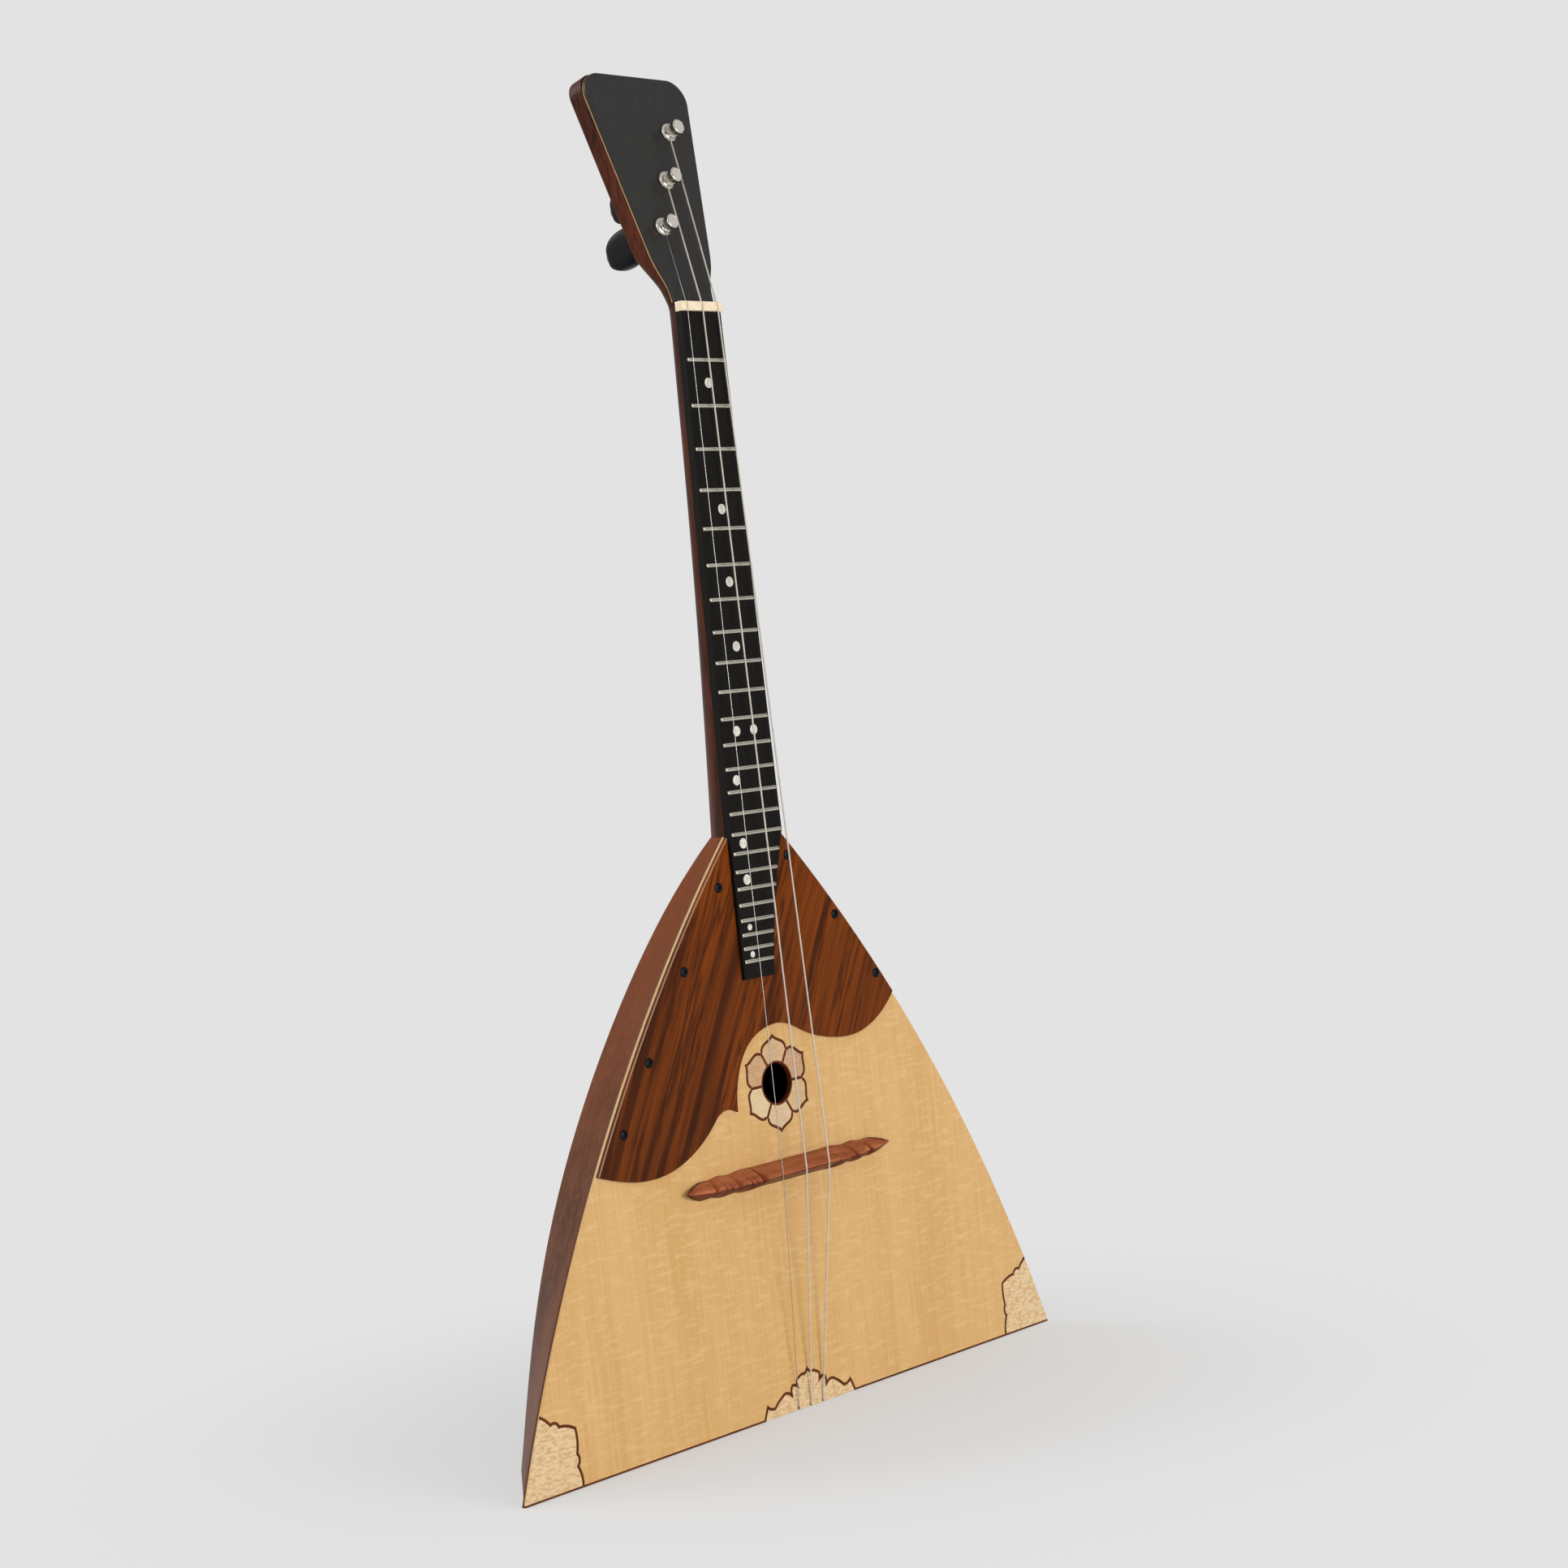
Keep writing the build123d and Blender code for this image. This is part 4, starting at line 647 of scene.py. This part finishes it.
COLLAR = [(3.05, 0.0), (5.0, 0.0), (5.1, 0.5), (4.95, 1.3), (4.5, 2.0), (3.8, 2.35), (3.05, 2.4),
          (3.05, 0.0)]
WASHER = [(3.05, -13.9), (5.0, -13.9), (5.0, -13.0), (3.05, -13.0), (3.05, -13.9)]
POST = [(0, -37.0), (2.2, -37.0), (2.2, -14.0), (3.0, -14.0), (3.0, 2.5), (3.5, 2.5), (3.5, 3.0),
        (WAIST, 3.4), (WAIST, 5.5), (3.1, 5.75), (3.8, 5.9), (3.8, 8.5), (3.45, 8.8), (3.2, 8.68),
        (0, 8.68)]
collars = np.stack([turned(COLLAR, 0.35, foot) for foot in PEGS])
piece("domed_collars", surface("domed_collars", collars), nickel, "instrument", "nickel_peg",
      "peg_collars")
washers = np.stack([turned(WASHER, 0.15, foot) for foot in PEGS])
piece("back_washers", surface("back_washers", washers), washer_black, "instrument", "black_washer",
      "peg_washers")
for number, foot in enumerate(PEGS, 1):
    post = surface(f"turned_post_{number}", turned(POST, 0.3, foot))
    piece(f"turned_post_{number}", post, nickel, f"peg_{number}", "nickel_peg",
          f"peg_post_{number}")

# %% [markdown]
# The neck and head are carved from one piece. Seen along the neck, its back is half an oval; in
# the head it is nearly a rectangle. One formula, the superellipse, covers both, with a power that
# rises through the throat, so the round back flows into the flat head without a step. Each row of
# points is one cross-section, square to the neck below the nut and square to the head above it.

# %% Neck and head
NECK = np.array([   # height, half width, depth behind the strings' side, power, front plane
    (292, 18.97, 20.7, 2.0, 0), (300, 18.8, 20.2, 2.0, 0), (350, 17.9, 16.8, 2.0, 0),
    (410, 16.8, 13.6, 2.0, 0), (467, 15.7, 12.0, 2.0, 0), (520, 14.75, 11.4, 2.0, 0),
    (548, 14.2, 11.2, 2.0, 0), (557, 14.05, 11.3, 2.05, 0)])
HEAD = np.array([   # the same, with heights up the head from its foot
    (1.5, 13.9, 11.5, 2.1, 2.4), (6, 14.5, 11.7, 2.3, 2.5), (10.2, 15.3, 11.95, 2.6, 2.5),
    (14, 16.9, 12.3, 3.0, 2.5), (17.2, 18.3, 12.6, 3.6, 2.5), (20, 19.3, 12.8, 4.6, 2.5),
    (23, 20.2, 12.95, 6.5, 2.5), (26, 21.0, 13.0, 10, 2.5), (30, 21.7, 13.0, 16, 2.5),
    (60, 26.92, 13.0, 20, 2.5), (111, 35.8, 13.0, 20, 2.5)])
last_up, last_half, *last_shape = HEAD[-1]
ROUND, FLARE = 11.5, 0.174   # radius of the head's top corners, and how fast its sides spread
corner = ROUND * np.sin(np.linspace(0, np.pi / 2, 14))
TOP = np.stack([last_up + corner,
                last_half + FLARE * corner - (ROUND - np.sqrt(ROUND ** 2 - corner ** 2)),
                *(0 * corner + value for value in last_shape)], -1)[1:]


def sections(table, rows):
    """Rows of a table filled in smoothly between the ones given."""
    at = np.linspace(0, len(table) - 1, rows)
    return np.stack([through(at, np.arange(len(table)), column) for column in table.T], -1)


def half_ovals(rows):
    """Across and depth of each row's outline: round the back, then straight along the front."""
    bow = np.linspace(0, np.pi, 61)
    _, half, deep, power, front = rows.T[:, :, None]
    across = half * np.sign(np.cos(bow)) * np.abs(np.cos(bow)) ** (2 / power)
    depth = front + (deep - front) * np.sin(bow) ** (2 / power)
    face = np.linspace(-1, 1, 15)[1:-1]
    return np.hstack([across, half * face]), np.hstack([depth, front + 0 * face + 0 * half])


low_rows, high_rows = sections(NECK, 120), np.vstack([sections(HEAD, 150), TOP])
across, depth = half_ovals(low_rows)
low = np.stack([across, FACE + depth, low_rows[:, :1] + 0 * depth], -1)
across, depth = half_ovals(high_rows)
high = HEAD_FOOT + across[..., None] * ACROSS + high_rows[:, :1, None] * HEAD_UP
high = high - depth[..., None] * HEAD_FRONT
whole = np.concatenate([low, high])
ends = [whole[[row]].mean(1, keepdims=True) + 0 * whole[:1] for row in (0, -1)]
mesh = surface("carved_neck", np.concatenate([ends[0], whole, ends[1]]) * MM)
mesh.set_sharp_from_angle(angle=math.radians(50))
piece("carved_neck", mesh, neck_mahogany, "instrument", "neck_mahogany", "neck")

# %% [markdown]
# A peg button starts round, where it meets the shaft, and widens to a flat paddle for the thumb.
# Its cross-section is a superellipse again: power 2 gives a circle and power 5 a rounded oblong,
# so one table of sizes and powers carries the shape from one to the other.

# %% Peg buttons
BUTTON = np.array([   # distance behind the plate, half width, half thickness, power
    (-14.1, 0.0, 0.0, 2.0), (-14.1, 4.1, 4.1, 2.0), (-14.5, 4.55, 4.5, 2.0), (-17.4, 4.6, 4.3, 2.0),
    (-19.0, 6.2, 3.9, 2.6), (-21.0, 8.6, 3.8, 3.6), (-24.0, 9.9, 3.8, 4.6),
    (-29.0, 10.0, 3.75, 5.0), (-34.0, 9.0, 3.6, 5.0), (-37.4, 7.0, 3.3, 5.0),
    (-39.4, 5.2, 2.5, 4.0), (-40.0, 4.2, 1.7, 3.0), (-40.0, 1.4, 0.9, 2.0),
    (-40.0, 0.0, 0.0, 2.0)])
steps = np.arange(len(BUTTON))
fine = np.linspace(0, len(BUTTON) - 1, 105)
back, wide, thick, power = (through(fine, steps, column)[:, None] for column in BUTTON.T)
lobe = np.sign(np.cos(AROUND)) * np.abs(np.cos(AROUND)) ** (2 / power)
edge = np.sign(np.sin(AROUND)) * np.abs(np.sin(AROUND)) ** (2 / power)
paddle = (np.clip(wide, 0, None) * lobe)[..., None] * HEAD_UP
paddle = paddle + (np.clip(thick, 0, None) * edge)[..., None] * ACROSS
paddle = paddle + back[..., None] * HEAD_FRONT
for number, foot in enumerate(PEGS, 1):
    mesh = surface(f"moulded_button_{number}", (foot + paddle) * MM)
    piece(f"moulded_button_{number}", mesh, button_plastic, f"peg_{number}", "black_peg_button",
          f"peg_button_{number}")

# %% [markdown]
# Screw heads are low domes with a cross cut into them. The dome is a cap of circles, and the cross
# lowers every point that lies near one of two lines through the middle.

# %% Screws
def screw_head(radius, proud, slot_deep):
    """Two places and a height for each point of a round dome with a cross-shaped recess."""
    out, angle = np.meshgrid(np.linspace(0, 1, 26), np.linspace(0, 2 * np.pi, 97)[:-1],
                             indexing="ij")
    dome = proud * np.sqrt(np.clip(1 - out ** 2.6, 0, 1))
    x, y = radius * out * np.cos(angle), radius * out * np.sin(angle)
    near = np.minimum(np.hypot(x, np.clip(np.abs(y) - 1.1, 0, None)),
                      np.hypot(y, np.clip(np.abs(x) - 1.1, 0, None)))
    cross = np.clip((0.42 - near) / 0.16, 0, 1)
    return x, y, dome - slot_deep * cross * cross * (3 - 2 * cross)


SCREWS = np.array([(-29, 267.6), (-59, 229.5), (-89, 189.3), (-110.5, 158), (23, 278.5),
                   (54, 244.3), (81, 210)])
GUARD_FRONT = FACE - 2.0
HEAD_RADIUS, SUNK = 2.6, 0.4   # radius of a screw's head, and how far its rim goes into the guard
x, z, high = screw_head(HEAD_RADIUS, 0.9, 0.6)
heads = np.stack([x + SCREWS[:, 0, None, None], GUARD_FRONT - high + 0 * SCREWS[:, 0, None, None],
                  z + SCREWS[:, 1, None, None]], -1)
rim = heads[:, -1:] * [1, 0, 1] + [0, GUARD_FRONT + SUNK, 0]
middle = np.broadcast_to(rim.mean(2, keepdims=True), rim.shape)
heads = np.concatenate([heads, rim, middle], 1) * MM
piece("cross_head_screws", surface("cross_head_screws", heads), blackened, "instrument",
      "black_screw", "pickguard_screws")
BUTTON_END = BUTTON[-1, 0]
x, up, high = screw_head(HEAD_RADIUS, 1.1, 0.5)
for number, foot in enumerate(PEGS, 1):
    head = foot + x[..., None] * ACROSS + up[..., None] * HEAD_UP
    head = head + (BUTTON_END - high)[..., None] * HEAD_FRONT
    flat = head[-1:].mean(1, keepdims=True) + 0 * head[-1:]
    mesh = surface(f"button_screw_{number}", np.concatenate([head, flat]) * MM)
    piece(f"button_screw_{number}", mesh, nickel, f"peg_{number}", "nickel_peg",
          f"peg_screw_{number}")

# %% [markdown]
# Strings are tubes: a circle carried along a path. Each string runs straight from its peg over the
# nut and the bridge to the lower edge, where it bends round to its pin. The circle stays square to
# the path because its two axes are worked out from the path's own direction.

# %% Strings
def tube(path, radius, aside, sides=12):
    """A circle of some radius square to each point of a path, closed at both ends."""
    ahead = np.gradient(path, axis=0)
    ahead /= np.linalg.norm(ahead, axis=1)[:, None]
    one = np.cross(ahead, aside)
    one /= np.linalg.norm(one, axis=1)[:, None]
    two = np.cross(ahead, one)
    angle = np.linspace(0, 2 * np.pi, sides + 1)[:-1, None]
    rings = path[:, None] + radius * (np.cos(angle) * one[:, None] + np.sin(angle) * two[:, None])
    ends = [np.broadcast_to(path[k], rings[:1].shape) for k in (0, -1)]
    return np.concatenate([ends[0], rings, ends[1]]) * MM


WOUND = [1.6, 1.9, 1.9]   # length of the winding on each peg
COIL_GAP, TAIL = 0.12, 1.25   # space outside a winding, and the height of the bends at the tail
KINDS = [(steel, "steel_string"), (nylon, "nylon_string"), (nylon, "nylon_string")]
for number, (foot, thick, wound, (finish, slot)) in enumerate(zip(PEGS, THICK, WOUND, KINDS), 1):
    side = SIDES[number - 1]
    start = foot - (WAIST + 3 * thick + COIL_GAP) * ACROSS + WIND_START * HEAD_FRONT
    path = [start, (AT_NUT * side, FACE - 5.5, NUT + 2.0),
            (AT_BRIDGE * side, FACE - 14.0 - thick, BRIDGE + 1.6),
            (AT_TAIL * side, FACE - 0.05 - thick, TAIL), (AT_TAIL * side, FACE + 13.5, TAIL)]
    mesh = surface(f"drawn_string_{number}", tube(eased(path, 0.9), thick, ACROSS))
    piece(f"drawn_string_{number}", mesh, finish, "instrument", slot, f"string_{number}")
    turns = (wound - 2 * thick) / (2 * thick)
    sweep = np.linspace(0, 2 * np.pi * turns, 120)[:, None]
    rise = WIND_FROM + thick + (wound - 2 * thick) * np.linspace(0, 1, 120)[:, None]
    coil = foot + (WAIST + thick) * (np.cos(sweep) * ACROSS + np.sin(sweep) * HEAD_UP)
    coil = coil + rise * HEAD_FRONT
    mesh = surface(f"wound_turns_{number}", tube(coil, thick, HEAD_FRONT))
    piece(f"wound_turns_{number}", mesh, finish, f"peg_{number}", slot, f"string_winding_{number}")

# %% [markdown]
# Frets are short lengths of domed wire. Their section is half an ellipse, and it shrinks over the
# last half millimetre at both ends, where the ends are filed smooth for the hand.

# %% Frets
CUT_END, CUT_X = 220.0, 3.0   # where the fingerboard's cut-away edge ends
END_GAP, FRET_HALF, FRET_HIGH = 0.9, 1.1, 1.02   # bare board past each end, half width, height
number = np.arange(1, 25)
height = NUT - SCALE_LENGTH * (1 - 2 ** (-number / 12))
half = HALF_AT_NUT + TAPER * (NUT - np.maximum(height, JOINT))
span = HALF_AT_NUT + TAPER * (NUT - JOINT) - CUT_X
hollow = CUT_X + span * np.clip((height - CUT_END) / (JOINT - CUT_END), 0, None) ** 1.5
left_end, right_end = -half + END_GAP, np.where(height > JOINT, half, hollow) - END_GAP
share = np.array([0, 0.0, 0.004, 0.012, 0.028, 0.972, 0.988, 0.996, 1.0, 1.0])
swell = np.array([0, 0.55, 0.8, 0.94, 1, 1, 0.94, 0.8, 0.55, 0])
bow = np.linspace(0, np.pi, 11)
along = (left_end[:, None] + (right_end - left_end)[:, None] * share)[..., None] + 0 * bow
crown = FACE - 3.98 - FRET_HIGH * swell[:, None] * np.sin(bow) + 0 * along
around = height[:, None, None] + FRET_HALF * swell[:, None] * np.cos(bow) + 0 * along
wires = np.stack([along, crown, around], -1) * MM
piece("domed_frets", surface("domed_frets", wires), fret_wire, "instrument", "nickel_silver_fret",
      "frets")

# %% [markdown]
# The nut is a bone bar with rounded top edges and a slot filed for each string. Its section is
# carried across the neck, and near each slot the top sinks by a bell-shaped curve.

# %% Nut
NUT_LONG, NUT_HIGH = 5.0, 5.8
outline = [(0, FACE), (0, FACE - NUT_HIGH), (NUT_LONG, FACE - NUT_HIGH), (NUT_LONG, FACE)]
section = eased(outline, 1.3)
middle = (NUT_LONG / 2, FACE - NUT_HIGH / 2)
across = np.concatenate([[-14.2, -14.2, -14.12, -13.9], np.linspace(-13.6, 13.6, 273),
                         [13.9, 14.12, 14.2, 14.2]])
shrink = np.ones(len(across))
shrink[[0, -1]], shrink[[1, -2]], shrink[[2, -3]], shrink[[3, -4]] = 0, 0.9, 0.95, 0.985
bar = middle + shrink[:, None, None] * (section - middle)
sunk = sum(np.exp(-((across - AT_NUT * side) / (0.9 * thick + 0.15)) ** 4)
           for side, thick in zip(SIDES, THICK))
top = np.clip((FACE - 1.5 - bar[..., 1]) / (NUT_HIGH - 1.5), 0, 1)
lowered = bar[..., 1] + 0.75 * sunk[:, None] * top
spots = np.stack([across[:, None] + 0 * top, lowered, NUT + bar[..., 0]], -1)
piece("rounded_nut", surface("rounded_nut", spots * MM), bone, "instrument", "bone_nut", "nut")

# %% [markdown]
# The floating bridge is whittled from one stick. The middle is a plain wedge that narrows to its
# top, and its side towards the neck ends in a low step. Each arm is carved into two overlapping
# leaves and a spear point. One curve gives the crest along the stick, another gives its width, and
# each section is the wedge in the middle, which turns into a rounded ridge on the carved arms.

# %% Bridge
LEAVES = [(0, 14.0), (10, 13.95), (20, 13.9), (26.0, 13.85), (27.0, 13.2), (27.5, 8.6), (28.2, 8.4),
          (29.2, 11.2), (32, 11.8), (35, 11.2), (38.5, 10.0), (42.4, 8.8), (43.0, 6.4), (43.8, 6.2),
          (44.6, 9.2), (47.5, 9.7), (50.5, 9.0), (53.5, 8.1), (56.2, 7.2), (56.9, 4.9), (57.8, 4.8),
          (58.7, 7.2), (62, 7.0), (66, 6.7), (70, 6.0), (73, 5.3), (75, 4.8)]
WIDTH = [(0, 1.0), (26, 1.0), (34, 1.04), (42.8, 0.86), (49, 1.0), (56.8, 0.8), (62, 0.86),
         (68, 0.6), (73, 0.24), (75, 0.03)]
REACH, PEAK, MID = 75, 14, 2.3     # length of an arm, height, and the middle of the stick's depth
FIRST, SECOND, SPEAR = 27.4, 43.4, 57.4   # where the two leaves and the spear point begin
across, around = np.meshgrid(np.linspace(-REACH, REACH, 901), np.linspace(0, 1, 49), indexing="ij")
far = np.abs(across)
wedge = eased([(-4.2, 0), (0.9, PEAK), (2.4, PEAK), (6.4, 3.0), (6.8, 0)], 0.5)
run = np.concatenate([[0], np.cumsum(np.linalg.norm(np.diff(wedge, axis=0), axis=1))])
plain = [np.interp(around, run / run[-1], column) for column in wedge.T]
ridge = [-4.0 + 10.8 * around, PEAK * np.sin(np.pi * around ** 0.85) ** 0.8]
carved = np.clip((far - 26.6) / 0.9, 0, 1)
deep, tall = (flat + 0.9 * (bent - flat) * carved for flat, bent in zip(plain, ridge))
within = np.clip(far - np.select([far < SECOND, far < SPEAR], [FIRST, SECOND], SPEAR), 0, None)
curl = far + 2.4 * carved * np.clip(around - 0.3, 0, 1) ** 1.5
curl = curl - 1.2 * carved * np.clip(0.3 - around, 0, 1)
crest = through(curl, *zip(*LEAVES))
ribs = sum(np.exp(-((within - start - 2.0 * around) / 0.5) ** 2) for start in (4.2, 7.0))
crest = crest - 0.9 * ribs * (far > 28) * (far < 57)
vein = np.clip(1 - np.abs(around - 0.2) / 0.025, 0, 1) * np.clip((far - 28.5) / 3, 0, 1)
tall = tall / PEAK * (crest - 0.5 * vein * (far < 70))
tall = np.maximum(tall, 0.25 * np.clip(far - 60, 0, None) + 0 * tall)
deep = MID + (deep - MID) * through(far, *zip(*WIDTH))
spots = np.stack([across, FACE - np.clip(tall, 0, PEAK - 0.01), BRIDGE + deep], -1)
ends = [spots[[row]].mean(1, keepdims=True) + 0 * spots[:1] for row in (0, -1)]
stick = surface("carved_bridge", np.concatenate([ends[0], spots, ends[1]]) * MM)
piece("carved_bridge", stick, bridge_wood, "instrument", "bridge_wood", "bridge")
